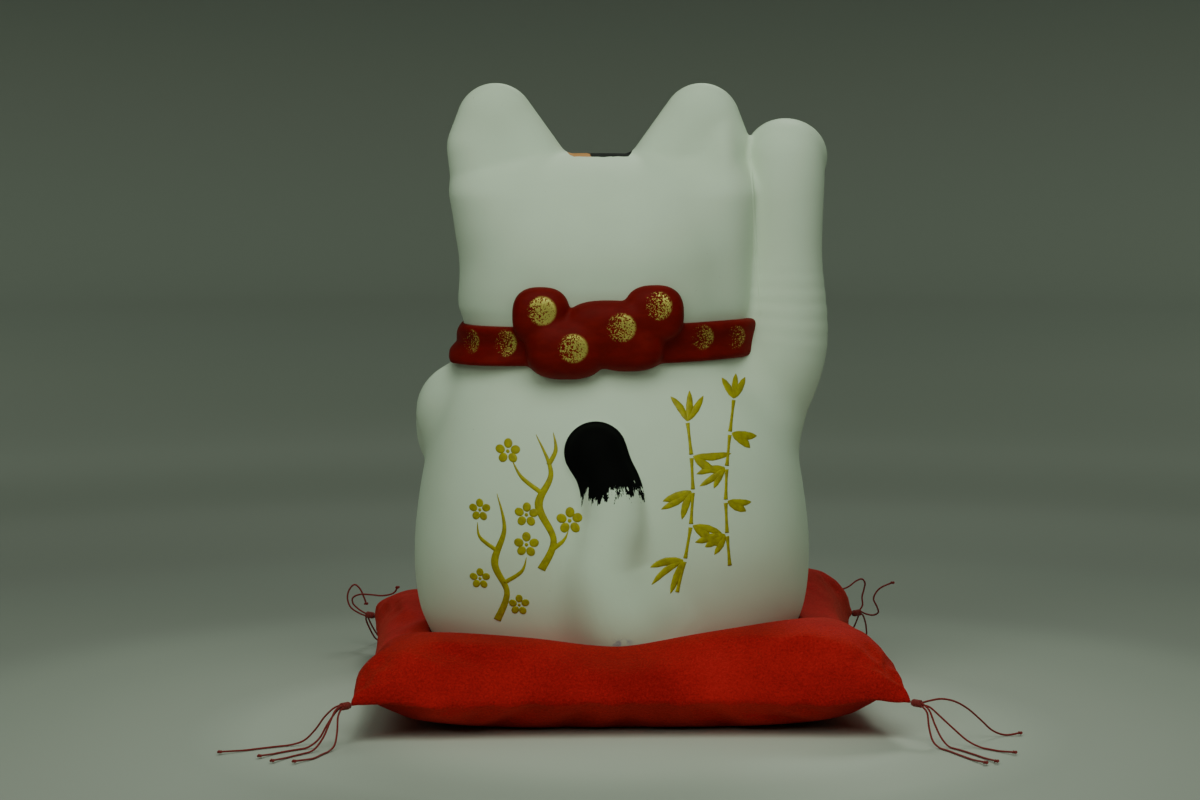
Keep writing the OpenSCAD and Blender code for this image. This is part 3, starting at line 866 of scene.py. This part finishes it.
def band(p):
    """The collar's band, which ends at the raised arm and is thicker below on the other side."""
    x, _, z = p.T
    skin = casting(p)
    above = z - (COLLAR_Z - COLLAR_SLOPE * (x - HEAD_X))
    thickness = COLLAR_T - 0.35 * np.minimum(above, 0) * ease(x, 40, 62)
    d = blend_max(skin - thickness, np.abs(above) - COLLAR_HALF, 3.5)
    d = blend_max(d, x - (COLLAR_END_X - 0.33 * above - 0.03 * above**2), 2)
    d = blend_max(d, -(raised_arm(p) + COLLAR_IN_ARM), 9)
    return np.maximum(d, -(skin + COLLAR_ROOT))


def collar(p):
    """The band and its knot."""
    d = band(p)
    for x, z, half_width, half_height, depth, y in FOLDS:
        d = blend_min(d, cushiony(p, [x, y, z], [half_width, depth, half_height]), 2.2)
    return np.maximum(d, -(casting(p) + COLLAR_ROOT))


# Gold dabs: x, z, half width, half height, how much gold is on them; those on the front have y < 0
DABS_BACK = [
    [34.5, 147.4, 5.7, 5.7, 0.56], [21.9, 132.3, 5.9, 5.7, 0.53], [2.2, 140.6, 5.8, 5.7, 0.5],
    [-12.8, 149.3, 5.6, 5.6, 0.47], [49.5, 133.3, 4.6, 5.3, 0.46], [63.8, 133.3, 3.4, 4.8, 0.43],
    [-31.5, 135.5, 5.0, 5.0, 0.44], [-46, 134.9, 4.3, 4.8, 0.41],
]
DABS_FRONT = [
    [30, 132.5, 5.4, 5.4, 0.5], [-11, 133, 5.4, 5.4, 0.5], [47, 132, 5, 5.4, 0.48],
    [-27, 133, 5, 5.4, 0.48], [60, 131.5, 3.6, 5.2, 0.46], [-41, 133.5, 4.2, 5.2, 0.46],
]
DAB_LEAN = 0.1                   # how much more gold a dab has on one side


def make_collar():
    step = 1.05
    points, quads = surface_net(collar, [-62, -62, 114], [80, 66, 164], step)
    points = settle(collar, points)
    obj = make_object("collar_and_knot", up_to_seat(points), quads, collar_paint)
    nearest = np.full(len(points), 9.0)
    gold = np.zeros(len(points))
    for dabs, on_back in ((DABS_BACK, True), (DABS_FRONT, False)):
        for x, z, half_width, half_height, amount in dabs:
            away = np.hypot((points[:, 0] - x) / half_width, (points[:, 2] - z) / half_height)
            away = np.where((points[:, 1] > 0) == on_back, away, 9)
            lean = DAB_LEAN * np.clip((x - points[:, 0]) / half_width, -1, 1)
            gold = np.where(away < nearest, amount + lean, gold)
            nearest = np.minimum(nearest, away)
    set_attribute(obj, "dab", nearest)
    set_attribute(obj, "dab_gold", gold)
    place(obj, "cat", ["collar_band", "collar_bow"])


make_collar()

# ---- bell and coin ----

BELL = (HEAD_X, -56.0, 122.0)
BELL_R = 11.0
BELL_WALL = 3.5
RIB_R = 1.0                      # of the rib, whose middle lies RIB_R above that of the bell
SLIT_HALF = 0.9
SLIT_TOP = -2.2                  # heights from the middle of the bell
HOLE_Z = -3.2
HOLE_R = 1.9


def bell(p):
    """A hollow ball with a rib round its middle and a slit that ends in a round hole."""
    q = p - np.array(BELL)
    x, y, z = q.T
    r = np.linalg.norm(q, axis=1)
    d = r - BELL_R
    rib = np.hypot(np.hypot(x, y) - BELL_R, np.maximum(np.abs(z - RIB_R) - 0.7, 0)) - RIB_R
    d = blend_min(d, rib, 0.7)
    slit = np.maximum(np.abs(x) - SLIT_HALF, z - SLIT_TOP)
    hole = np.hypot(x, z - HOLE_Z) - HOLE_R
    gap = np.maximum(np.minimum(slit, hole), y + 3)
    d = blend_max(d, -gap, 0.5)
    return np.maximum(d, BELL_R - BELL_WALL - r)


def make_bell():
    low = np.array(BELL) - 14
    points, quads = surface_net(bell, low, low + 28, 0.5)
    points = settle(bell, points, 2, 0.3)
    obj = make_object("round_bell", up_to_seat(points), quads, gold_leaf)
    place(obj, "cat", ["bell"])
    t = circle(28)
    middle = up_to_seat(BELL) + [0, 0, BELL_R + 2.2]
    loop = middle + np.stack([3.0 * np.sin(t), -1.0 * np.cos(t) - 1.0, 3.4 * np.cos(t)], 1)
    cord = make_object("bell_loop", *tube_mesh(loop, 1.25, 12, True), red_line)
    place(cord, "cat")


make_bell()

KOBAN = (8.0, -70.0, 66.0)
KOBAN_HALF = (21.0, 35.0)
KOBAN_T = 6.0
KOBAN_LEAN = math.radians(6)
KOBAN_ROW = 3.4                  # height of a row of hollows
FLOWER_R = 7.4
RIM_RISE, FLOWER_RISE, HEART_RISE, HOLLOW_DEPTH = 1.0, 0.7, 0.4, 0.55


def make_koban():
    """An oval gold coin with a rim and rows of small hollows, as plain coins of this kind have."""
    columns, rows = ((80, 124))
    u, v = np.meshgrid(np.linspace(-1, 1, columns + 1), np.linspace(-1, 1, rows + 1), indexing="ij")
    x = u * np.sqrt(1 - v**2 / 2) * KOBAN_HALF[0]
    z = v * np.sqrt(1 - u**2 / 2) * KOBAN_HALF[1]
    edge = np.hypot(x / KOBAN_HALF[0], z / KOBAN_HALF[1])
    rim = ease(edge, 0.86, 0.9) * (1 - ease(edge, 0.955, 1.0) ** 2)
    field = 1 - ease(edge, 0.78, 0.84)
    marks = np.sin(z * 2 * math.pi / KOBAN_ROW + 0.5 * np.sin(x * 0.5))
    broken = 0.5 + 0.5 * np.sin(x * 2 * math.pi / 9 + np.floor(z / KOBAN_ROW + 0.5) * math.pi)
    flower_r = FLOWER_R * (0.78 + 0.22 * np.abs(np.cos(2.5 * np.arctan2(x, z))))
    flower = 1 - ease(np.hypot(x, z), flower_r - 0.8, flower_r + 0.8)
    heart = 1 - ease(np.hypot(x, z), 1.6, 2.3)
    hollow = np.clip(marks, 0, 1) * broken * field * (1 - flower)
    ground = KOBAN_T / 2 - RIM_RISE
    height = RIM_RISE * rim - HOLLOW_DEPTH * hollow + FLOWER_RISE * flower + HEART_RISE * heart + ground
    height -= ground * ease(edge, 0.93, 1.0) ** 3
    count = (columns + 1) * (rows + 1)
    front = np.stack([x.ravel(), -height.ravel(), z.ravel()], 1)
    back_y = (KOBAN_T / 2) * (1 - ease(edge, 0.9, 1.0) ** 3)
    back = np.stack([x.ravel(), back_y.ravel(), z.ravel()], 1)
    faces = []
    for i in range(columns):
        for j in range(rows):
            a = i * (rows + 1) + j
            b = a + rows + 1
            faces.append([a, b, b + 1, a + 1])
            faces.append([count + a, count + a + 1, count + b + 1, count + b])
    rim_path = (
        [i * (rows + 1) for i in range(columns)]
        + [columns * (rows + 1) + j for j in range(rows)]
        + [i * (rows + 1) + rows for i in range(columns, 0, -1)]
        + list(range(rows, 0, -1))
    )
    for a, b in zip(rim_path, rim_path[1:] + rim_path[:1]):
        faces.append([b, a, count + a, count + b])
    points = np.concatenate([front, back])
    c, s = math.cos(KOBAN_LEAN), math.sin(KOBAN_LEAN)
    y, z = points[:, 1] * c + points[:, 2] * s, -points[:, 1] * s + points[:, 2] * c
    points = np.stack([points[:, 0], y, z], 1) + KOBAN
    obj = make_object("koban_coin", up_to_seat(points), faces, gold_leaf)
    place(obj, "cat", ["koban"])


make_koban()

# ---- brushwork, laid on the finished surface ----


def tree_of(*objects):
    """A search tree over the surface of some pieces, in millimetres."""
    points, faces, first = [], [], 0
    for obj in objects:
        co = np.empty(len(obj.data.vertices) * 3)
        obj.data.vertices.foreach_get("co", co)
        points.append(co.reshape(-1, 3) / MM)
        faces += [[i + first for i in p.vertices] for p in obj.data.polygons]
        first += len(obj.data.vertices)
    return BVHTree.FromPolygons(np.concatenate(points).tolist(), faces)


skin_tree = tree_of(cat_piece)


def on_skin(x, z, front):
    """The surface point behind or in front of the place x, z, and the surface's direction there."""
    start = Vector((x, -300 if front else 300, z))
    place_found, normal, _, _ = skin_tree.ray_cast(start, Vector((0, 1 if front else -1, 0)))
    if place_found is None:
        place_found, normal, _, _ = skin_tree.find_nearest(Vector((x, 0, z)))
    return np.array(place_found), np.array(normal)


STROKE_ARC = [(-1, -0.35), (-0.98, 0.02), (-0.6, 0.75), (0, 1), (0.6, 0.75), (0.98, 0.02), (1, -0.35)]


def stroke(path, widths, front=False, relief=0.22, step=0.9):
    """A brush stroke along points x, z; widths are spread evenly along it. Closed and slightly raised."""
    p = catmull([list(q) + [0] for q in path], step)[:, :2]
    width = np.interp(np.linspace(0, 1, len(p)), np.linspace(0, 1, len(widths)), widths)
    ahead = np.gradient(p, axis=0)
    ahead /= np.maximum(np.linalg.norm(ahead, axis=1), 1e-6)[:, None]
    rows = []
    for point, direction, w in zip(p, ahead, width):
        across = np.array([-direction[1], direction[0]])
        for sideways, height in STROKE_ARC:
            q = point + across * sideways * w / 2
            at, normal = on_skin(q[0], q[1], front)
            lift = relief * min(1, w / 1.5) * height if height > 0 else height
            rows.append(at + normal * lift)
    faces = ring_faces(len(p), len(STROKE_ARC))
    return np.array(rows), faces if front else turned(faces)


def spot(middle, radii, front=True, lift=0.2, turn=0.0, rings=7, sides=40, squareness=2.0):
    """A painted oval that follows the surface, with its edge let into it."""
    rows = []
    c, s = math.cos(turn), math.sin(turn)
    for i in range(rings + 1):
        share = math.sin(math.pi / 2 * i / rings)
        for a in circle(sides):
            px = abs(math.cos(a)) ** (2 / squareness) * math.copysign(1, math.cos(a)) * radii[0]
            pz = abs(math.sin(a)) ** (2 / squareness) * math.copysign(1, math.sin(a)) * radii[1]
            px, pz = px * share, pz * share
            at, normal = on_skin(middle[0] + c * px - s * pz, middle[1] + s * px + c * pz, front)
            height = lift * (1 if i < rings else 0.3)
            rows.append(at + normal * height)
    inward = np.array([0, 0.5 if front else -0.5, 0])
    rows = rows[sides:] + [at + inward for at in rows[-sides:]]
    faces = ring_faces(rings + 1, sides)
    return np.array(rows), faces if front else turned(faces)


rng = np.random.default_rng(11)


def leaf(x, z, angle, length, width):
    """One pressed-down brush stroke that swells and runs out to a point."""
    a = math.radians(angle)
    bend = math.radians(rng.uniform(-14, 14))
    middle = (x + 0.5 * length * math.cos(a), z + 0.5 * length * math.sin(a))
    end = (middle[0] + 0.5 * length * math.cos(a + bend), middle[1] + 0.5 * length * math.sin(a + bend))
    return stroke([(x, z), middle, end], [0.35, 0.8 * width, width, 0.75 * width, 0.1])


def bamboo(bottom, top, sway, leaf_length):
    """A thin jointed stalk with hanging groups of leaves on alternate sides."""
    parts = []
    low, high = np.array(bottom, float), np.array(top, float)
    joints = [
        low + (high - low) * t + np.array([sway * math.sin(math.pi * t), 0])
        for t in np.linspace(0, 1, 6)
    ]
    for i, (a, b) in enumerate(zip(joints, joints[1:])):
        gap = (b - a) * 0.05
        parts.append(stroke([a + gap, (a + b) / 2, b - gap], [1.9, 1.3, 1.25, 1.85]))
        side = 1 if i % 2 else -1
        if i:
            count = 3 if i % 2 else 2
            for k in range(count):
                angle = 90 - side * (100 + 26 * k + rng.uniform(-8, 8))
                length = leaf_length * rng.uniform(0.75, 1.1)
                parts.append(leaf(a[0] + side * 0.8, a[1], angle, length, rng.uniform(2.9, 3.9)))
    for angle in (62, 100, 128):
        parts.append(leaf(joints[-1][0], joints[-1][1], angle, leaf_length * 0.8, 3.1))
    return parts


def blossom(x, z, size):
    """Five round petals with stamens."""
    parts = []
    for k in range(5):
        a = math.radians(90 + 72 * k + rng.uniform(-5, 5))
        px, pz = x + size * math.cos(a), z + size * math.sin(a)
        parts.append(spot((px, pz), (0.62 * size, 0.55 * size), False, 0.22, a, 3, 18))
    parts.append(spot((x, z), (0.24 * size, 0.24 * size), False, 0.3, 0, 2, 12))
    return parts


def plum_branch(path, width, twigs, flowers):
    """A branch with thinner twigs and blossoms x, z, size."""
    parts = [stroke(path, [width, 0.75 * width, width, 0.55 * width, 0.2])]
    for twig in twigs:
        parts.append(stroke(twig, [0.6 * width, 0.5 * width, 0.15]))
    for x, z, size in flowers:
        parts += blossom(x, z, size)
    return parts


def make_brushwork():
    """Gold sprigs on the back, in two columns on each side of the tail."""
    parts = bamboo((-20, 52), (-25, 121), -4, 15)
    parts += bamboo((-42, 62), (-45, 129), 3, 12)
    parts += plum_branch(
        [(35, 62), (30, 74), (36, 88), (31, 101), (37, 116)], 3.5,
        [[(31, 70), (26, 74), (24, 78)], [(35, 93), (43, 99), (47, 106)], [(32, 104), (29, 110), (30, 117)]],
        [(23.5, 82, 3.4), (41, 84, 3.1), (48.5, 109, 3.2)],
    )
    parts += plum_branch(
        [(53, 40), (49, 52), (54, 64), (50, 78), (53, 92)], 3.2,
        [[(50, 56), (43, 61), (41, 67)], [(53, 69), (60, 74), (61, 80)]],
        [(41, 72, 3.2), (60, 85, 2.8), (44, 47, 2.7), (60, 57, 2.7)],
    )
    obj = make_object("gold_sprigs", *join(parts), gold_brush)
    place(obj, "cat")


make_brushwork()

EYE_Z = 195.0
EYE_X = 23.0


def eyes(radii, lift, shift=(0, 0)):
    """One round of paint on both eyes."""
    return [
        spot((HEAD_X + side * (EYE_X + shift[0]), EYE_Z + shift[1]), radii, True, lift, side * -0.12)
        for side in (1, -1)
    ]


def make_face():
    """A plain cat's face: round eyes, nose, mouth and whiskers."""
    layers = [                   # each round lies a little higher than the one below
        ("eye_outlines", eyes((10.4, 11.2), 0.18), black_line),
        ("eye_irises", eyes((8.7, 9.6), 0.34), iris_paint),
        ("eye_pupils", eyes((4.9, 7.6), 0.5, (-1.2, 0.2)), black_line),
        ("eye_lights", eyes((1.5, 1.8), 0.66, (1.2, 3.4)), eye_white),
    ]
    lines = []
    for side in (1, -1):
        x = HEAD_X + side * EYE_X
        lines.append(stroke([(x - side * 11, EYE_Z + 3), (x - side * 3, EYE_Z + 11.4),
                             (x + side * 7, EYE_Z + 9.4), (x + side * 12.5, EYE_Z + 3)],
                            [0.4, 1.8, 1.8, 0.3], True))
        for k in range(3):
            x0, z0 = HEAD_X + side * (24 + 1.5 * k), 173 - 5.2 * k
            lines.append(stroke([(x0, z0), (x0 + side * 12, z0 + 2.4 - 2.2 * k),
                                 (x0 + side * 23, z0 + 2.2 - 4.6 * k)], [1.3, 0.9, 0.25], True))
            for row in range(2):
                lines.append(spot((HEAD_X + side * (7 + 3.6 * k), 169 - 3.6 * row - 0.6 * k),
                                  (0.45, 0.45), True, 0.16, 0, 2, 10))
    layers.append(("whiskers_and_lashes", lines, black_line))
    mouth = [stroke([(HEAD_X, 173), (HEAD_X, 166.6)], [0.8, 1.0], True)]
    for side in (1, -1):
        mouth.append(stroke([(HEAD_X, 166.8), (HEAD_X + side * 5, 163.4), (HEAD_X + side * 11, 164.6),
                             (HEAD_X + side * 14.5, 168.4)], [1.1, 1.2, 1.0, 0.3], True))
    mouth.append(spot((HEAD_X, 178.4), (5.0, 3.4), True, 0.25, 0, 5, 30))
    mouth.append(spot((HEAD_X, 161.4), (4.2, 2.2), True, 0.2, 0, 4, 24))
    layers.append(("nose_and_mouth", mouth, red_line))
    for name, parts, material in layers:
        place(make_object(name, *join(parts), material), "cat")


make_face()


def make_claws():
    """Short dark lines between the toes of the paws."""
    parts = []
    for x in (-74, -68.5, -63):
        parts.append(stroke([(x, 203), (x + 0.2, 207), (x, 210.5)], [0.3, 1.2, 0.4], True))
    for x, z in ((26, 92), (27, 97.5), (30, 102.5)):
        parts.append(stroke([(x, z), (x + 4, z + 1.0), (x + 7.5, z + 1.4)], [1.2, 1.0, 0.3], True))
    for side in (1, -1):
        for k in (-1, 0, 1):
            x = BODY_X + side * 38 + 5.4 * k
            parts.append(stroke([(x, 25.5), (x, 30), (x + 0.3 * k, 34.5)], [0.5, 1.2, 0.3], True))
    place(make_object("claw_lines", *join(parts), black_line), "cat")


make_claws()


def make_mould_line():
    """The fine raised line where the casting's halves met, between the head and the raised arm."""
    path = [(-53.2, 236), (-54.2, 216), (-55.2, 198), (-56.4, 178), (-57.2, 163)]
    ridge = stroke(path, [0.5, 1.1, 1.1, 0.9, 0.2], False, 0.3, 1.2)
    line = make_object("mould_line", *ridge, bisque)
    for unpainted in ("on_tail", "tail_paint", "black_patch", "orange_patch", "ear_paint"):
        set_attribute(line, unpainted, np.full(len(line.data.vertices), -9.0))
    place(line, "cat")


make_mould_line()

# ---- cushion ----

SEAM_Z = 15.0
TOP_RISE = 22.0
FOOTPRINT = (80, 65)             # half width and half depth of the place the cat sits on
SEAT_DIP = 7.5                   # how much lower the cloth is there
CAT_GAP = 0.6                    # between the pressed cloth and the cat
PUFF_CAP = 3.0                   # the furthest that the pressure may move a point
SIDES_HELD = 0.75                # share of the bulge over the seam that is taken back
CREASE = (11, 15, 0.75)          # distance from the corner, reach and height of the folds there
SIDE_PULL = 4.5                  # how far the middle of a side is drawn in
ARM_SIDE_PULL = SIDE_PULL + 6.5  # and that of the side below the raised arm
# Places where the filling stands higher or lower: x, y, reach, height
SWELLS = [
    (-72, 88, 34, 2.8), (5, 92, 26, -4.5), (72, 92, 30, 1.0), (78, -84, 44, -6.0), (-78, -86, 40, 1.5),
    (0, -92, 34, -2.0), (-94, 0, 30, 1.0), (94, 4, 34, -2.0), (96, 40, 22, -1.5),
]


def fullness(u):
    """How far the upper panel has risen at u from the middle, where its sides are at 1."""
    return np.maximum(1 - np.abs(u) ** 8, 0) ** 0.4


def cushion_points(count):
    """Points of the upper and lower panels on a grid, in rows along y."""
    t = np.linspace(-1, 1, count + 1)
    t = 0.55 * np.sin(t * math.pi / 2) + 0.45 * t     # closer together towards the sides
    u, v = np.meshgrid(t, t, indexing="ij")
    side_pull = np.where(u < 0, ARM_SIDE_PULL, SIDE_PULL)
    x = HALF * u * (1 - side_pull / HALF * (1 - v**2))
    y = HALF * v * (1 - SIDE_PULL / HALF * (1 - u**2))
    full = (fullness(u) * fullness(v)) ** 0.8
    along, across = np.abs(x - BODY_X) / FOOTPRINT[0], np.abs(y) / FOOTPRINT[1]
    away = (along**POWER + across**POWER) ** (1 / POWER)
    rise = TOP_RISE * (1 - 0.1 * u) - SEAT_DIP * (1 - ease(away, 0.95, 1.4))
    for at_x, at_y, reach, height in SWELLS:
        rise = rise + height * np.exp(-((x - at_x) ** 2 + (y - at_y) ** 2) / reach**2)
    top = np.stack([x, y, SEAM_Z + full * rise], 2).reshape(-1, 3)
    rests = ((1 - u**4) * (1 - v**4)) ** 0.8          # near 1 where it lies on the floor
    low = np.stack([x, y, SEAM_Z * np.maximum(1 - 1.08 * rests, 0)], 2).reshape(-1, 3)
    return top, low


def cushion_mesh(count):
    """Points and faces of the closed pad, and which points lie on its seam."""
    top, low = cushion_points(count)
    n = count + 1
    rim = {i * n + j for i in range(n) for j in range(n) if i in (0, count) or j in (0, count)}
    under = {}
    points = list(top)
    for k in range(n * n):
        under[k] = k if k in rim else len(points)
        if k not in rim:
            points.append(low[k])
    faces = []
    for i in range(count):
        for j in range(count):
            a = i * n + j
            faces.append([a, a + n, a + n + 1, a + 1])
            faces.append([under[a], under[a + 1], under[a + n + 1], under[a + n]])
    return np.array(points), faces, sorted(rim)


CLOTH_SETTINGS = {
    "quality": 6, "mass": 0.15, "tension_stiffness": 12, "compression_stiffness": 8,
    "shear_stiffness": 4, "bending_stiffness": 0.4, "use_pressure": True,
    "uniform_pressure_force": 4, "shrink_min": -0.035, "vertex_group_mass": "seam",
}


def puff(obj, pinned, cap):
    """Lets the pad fill out under pressure, with its seam held, and moves no point by more than cap."""
    start = np.array([v.co for v in obj.data.vertices])
    group = obj.vertex_groups.new(name="seam")
    group.add([int(i) for i in pinned], 1.0, "REPLACE")
    modifier = obj.modifiers.new("puff", "CLOTH")
    for name, value in CLOTH_SETTINGS.items():
        setattr(modifier.settings, name, value)
    modifier.settings.effector_weights.gravity = 0
    modifier.collision_settings.use_collision = False
    for step_number in range(1, 21):
        bpy.context.scene.frame_set(step_number)
    apply_modifiers(obj)
    bpy.context.scene.frame_set(1)
    end = np.array([v.co for v in obj.data.vertices])
    move = end - start
    length = np.linalg.norm(move, axis=1)
    allowed = np.minimum(1, cap * MM / np.maximum(length, 1e-9))
    return (start + move * allowed[:, None]) / MM


def press_around_cat(points, gap):
    """Moves points out of the cat's place and off the floor."""
    local = points - [0, 0, SEAT_Z]
    low = (np.abs(local[:, 0] - BODY_X) < 62) & (np.abs(local[:, 1]) < 46)
    local[low, 2] = np.minimum(local[low, 2], -gap)
    for _ in range(6):
        near = (local[:, 2] < 40) & (local[:, 2] > -12)
        some = local[near]
        depth = np.minimum(casting(some), limb(some, TAIL)) - gap
        inside = depth < 0
        if not inside.any():
            break
        some_inside = some[inside]
        slope = gradient(lambda q: np.minimum(casting(q), limb(q, TAIL)), some_inside)
        slope /= np.maximum(np.linalg.norm(slope, axis=1), 1e-3)[:, None]
        some[inside] = some_inside - np.maximum(depth[inside], -4)[:, None] * slope
        local[near] = some
    points = local + [0, 0, SEAT_Z]
    points[:, 2] = np.maximum(points[:, 2], 0)
    return points


def hold_sides(points):
    """Keeps the filled sides from hanging out over the seam by more than a little."""
    out = points.copy()
    for axis, other in ((0, 1), (1, 0)):
        side_pull = np.where((axis == 0) & (points[:, 0] < 0), ARM_SIDE_PULL, SIDE_PULL)
        limit = HALF - side_pull * (1 - np.minimum(np.abs(points[:, other]) / HALF, 1) ** 2)
        over = np.maximum(np.abs(points[:, axis]) - limit, 0)
        out[:, axis] -= np.sign(points[:, axis]) * SIDES_HELD * over
    return out


def corner_folds(points):
    """Soft folds that fan out from each gathered corner."""
    moved = points.copy()
    middle, reach, height = CREASE
    for sx, sy in CORNERS:
        away_x, away_y = sx * (sx * HALF - points[:, 0]), sy * (sy * HALF - points[:, 1])
        away = np.hypot(away_x, away_y)
        angle = np.arctan2(away_y, away_x)
        strength = np.exp(-(((away - middle) / reach) ** 2)) * (points[:, 2] > SEAM_Z + 0.5)
        moved[:, 2] += height * strength * np.sin(9 * angle + 2 * sx + sy)
    return moved


def make_cushion():
    points, faces, rim = cushion_mesh(66)
    obj = make_object("cushion", points, faces, cloth)
    points = puff(obj, rim, PUFF_CAP)
    points = press_around_cat(corner_folds(hold_sides(points)), CAT_GAP)
    obj.data.vertices.foreach_set("co", (points * MM).ravel())
    obj.data.update()
    obj.data.polygons.foreach_set("use_smooth", [True] * len(obj.data.polygons))
    obj.modifiers.new("finer", "SUBSURF").levels = 1
    apply_modifiers(obj)
    place(obj, "cushion", ["cushion_top_panel", "cushion_bottom_panel", "cushion_filling"])


make_cushion()

# ---- surroundings ----

FLOOR_R = 2.7
WALL_R = 3.5
FLOOR_GAP = 0.0001               # keeps the floor from touching what stands on it
# Painted light and shade: how light the backdrop's colour is at some distances from the middle, in metres;
# lightest under the cat and darkest about a third of a metre out
PAINTED_LIGHT_TONES = [
    (0, 0.74), (0.07, 0.70), (0.14, 0.50), (0.18, 0.41), (0.27, 0.38), (0.34, 0.31), (0.5, 0.33),
    (0.75, 0.47), (1.1, 0.72), (1.8, 0.80), (3.5, 0.86),
]
PAINTED_LIGHT_MIDDLE = (0, -0.08, 0)      # moves the middle of the painted pool of light towards the camera
PAINTED_SHADE_PER_METRE = 1.1                # painted shade: how much darker the colour gets for each metre of height
PAPER_TINTS = [(0.92, 0.98, 0.88, 1), (0.96, 1.0, 0.92, 1)]


def make_surroundings():
    """A pale floor that runs up into a round wall, with a pool of light and shade painted into its colour."""
    material, tree, shader = new_material("backdrop")
    here = object_coords(tree)
    clouds = noise(tree, here, 2.0, 2)

    def vector_math(operation, a, b=(0, 0, 0)):
        return add(tree, "ShaderNodeVectorMath", {0: a, 1: b}, operation=operation)

    # a painted pool of light: the colour is lightest near the middle and darker further out
    moved = vector_math("ADD", here, PAINTED_LIGHT_MIDDLE).outputs["Vector"]
    away = vector_math("LENGTH", moved).outputs["Value"]
    shade = add(tree, "ShaderNodeValToRGB", {"Fac": math_node(tree, "DIVIDE", away, WALL_R)})
    ramp = shade.color_ramp
    ramp.interpolation = "EASE"
    for at, tone in PAINTED_LIGHT_TONES[1:-1]:
        ramp.elements.new(at / WALL_R).color = (tone, tone, tone, 1)
    for end, (_, tone) in ((0, PAINTED_LIGHT_TONES[0]), (-1, PAINTED_LIGHT_TONES[-1])):
        ramp.elements[end].color = (tone, tone, tone, 1)
    # painted shade: the colour gets darker higher up the wall
    height = add(tree, "ShaderNodeSeparateXYZ", {"Vector": here}).outputs["Z"]
    painted_upward_shade = math_node(tree, "SUBTRACT", 1.0, times(tree, height, PAINTED_SHADE_PER_METRE), True)
    paper = mix_colour(tree, clouds, *PAPER_TINTS)
    paper = mix_colour(tree, math_node(tree, "MAXIMUM", painted_upward_shade, 0.3), (0, 0, 0, 1), paper)
    toned = vector_math("MULTIPLY", shade.outputs["Color"], paper)
    set_inputs(tree, shader, {
        "Base Color": toned.outputs["Vector"], "Roughness": 0.75, "Specular IOR Level": 0.2,
    })
    profile = [(0.001, 0), (0.5, 0), (1.2, 0), (FLOOR_R, 0)]     # radius and height, in metres
    turn_r = WALL_R - FLOOR_R
    for a in np.linspace(0, math.pi / 2, 12)[1:]:
        profile.append((FLOOR_R + turn_r * math.sin(a), turn_r * (1 - math.cos(a))))
    profile += [(WALL_R, 1.8), (WALL_R, 2.8)]
    sides = 96
    points = [
        (r * math.cos(a) / MM, r * math.sin(a) / MM, (z - FLOOR_GAP) / MM)
        for r, z in profile for a in circle(sides)
    ]
    faces = turned(ring_faces(len(profile), sides)[:-2]) + [list(range(sides))]
    make_object("backdrop", points, faces, material)


LIGHT_COLOUR = (0.87, 1.0, 0.83)
WORLD_COLOUR = (0.72, 0.86, 0.70, 1)
WORLD_STRENGTH = 0.15


def add_light(name, place_at, size, power, aim=(0, 0, 0.11), spread=180):
    """A round lamp; only its light is seen, not the lamp."""
    data = bpy.data.lights.new(name, "AREA")
    data.shape = "DISK"
    data.size = size
    data.energy = power
    data.color = LIGHT_COLOUR
    data.spread = math.radians(spread)
    light = bpy.data.objects.new(name, data)
    bpy.context.scene.collection.objects.link(light)
    light.visible_camera = False
    light.location = place_at
    light.rotation_euler = (Vector(aim) - Vector(place_at)).to_track_quat("-Z", "Y").to_euler()


def make_lights():
    """A soft lamp overhead, one on each side of the camera, a weak one before the face, four for the wall."""
    add_light("overhead", (0.05, 0.55, 0.9), 0.7, 3.5, (0, 0.12, 0.05))
    add_light("camera_left", (0.9, 1.3, 1.0), 0.8, 4.1)
    add_light("camera_right", (-0.8, 1.3, 1.0), 0.8, 2.9)
    add_light("face_side", (-0.3, -1.35, 1.3), 0.6, 0.5, spread=38)
    for k in range(4):
        a = math.pi / 4 + math.pi / 2 * k
        c, s = math.cos(a), math.sin(a)
        add_light(f"wall_{k + 1}", (1.9 * c, 1.9 * s, 1.3), 0.8, 1.7, (3.4 * c, 3.4 * s, 0.2))
    world = bpy.data.worlds.new("world")
    world.use_nodes = True
    background = world.node_tree.nodes["Background"]
    background.inputs["Color"].default_value = WORLD_COLOUR
    background.inputs["Strength"].default_value = WORLD_STRENGTH
    bpy.context.scene.world = world


make_surroundings()
make_lights()
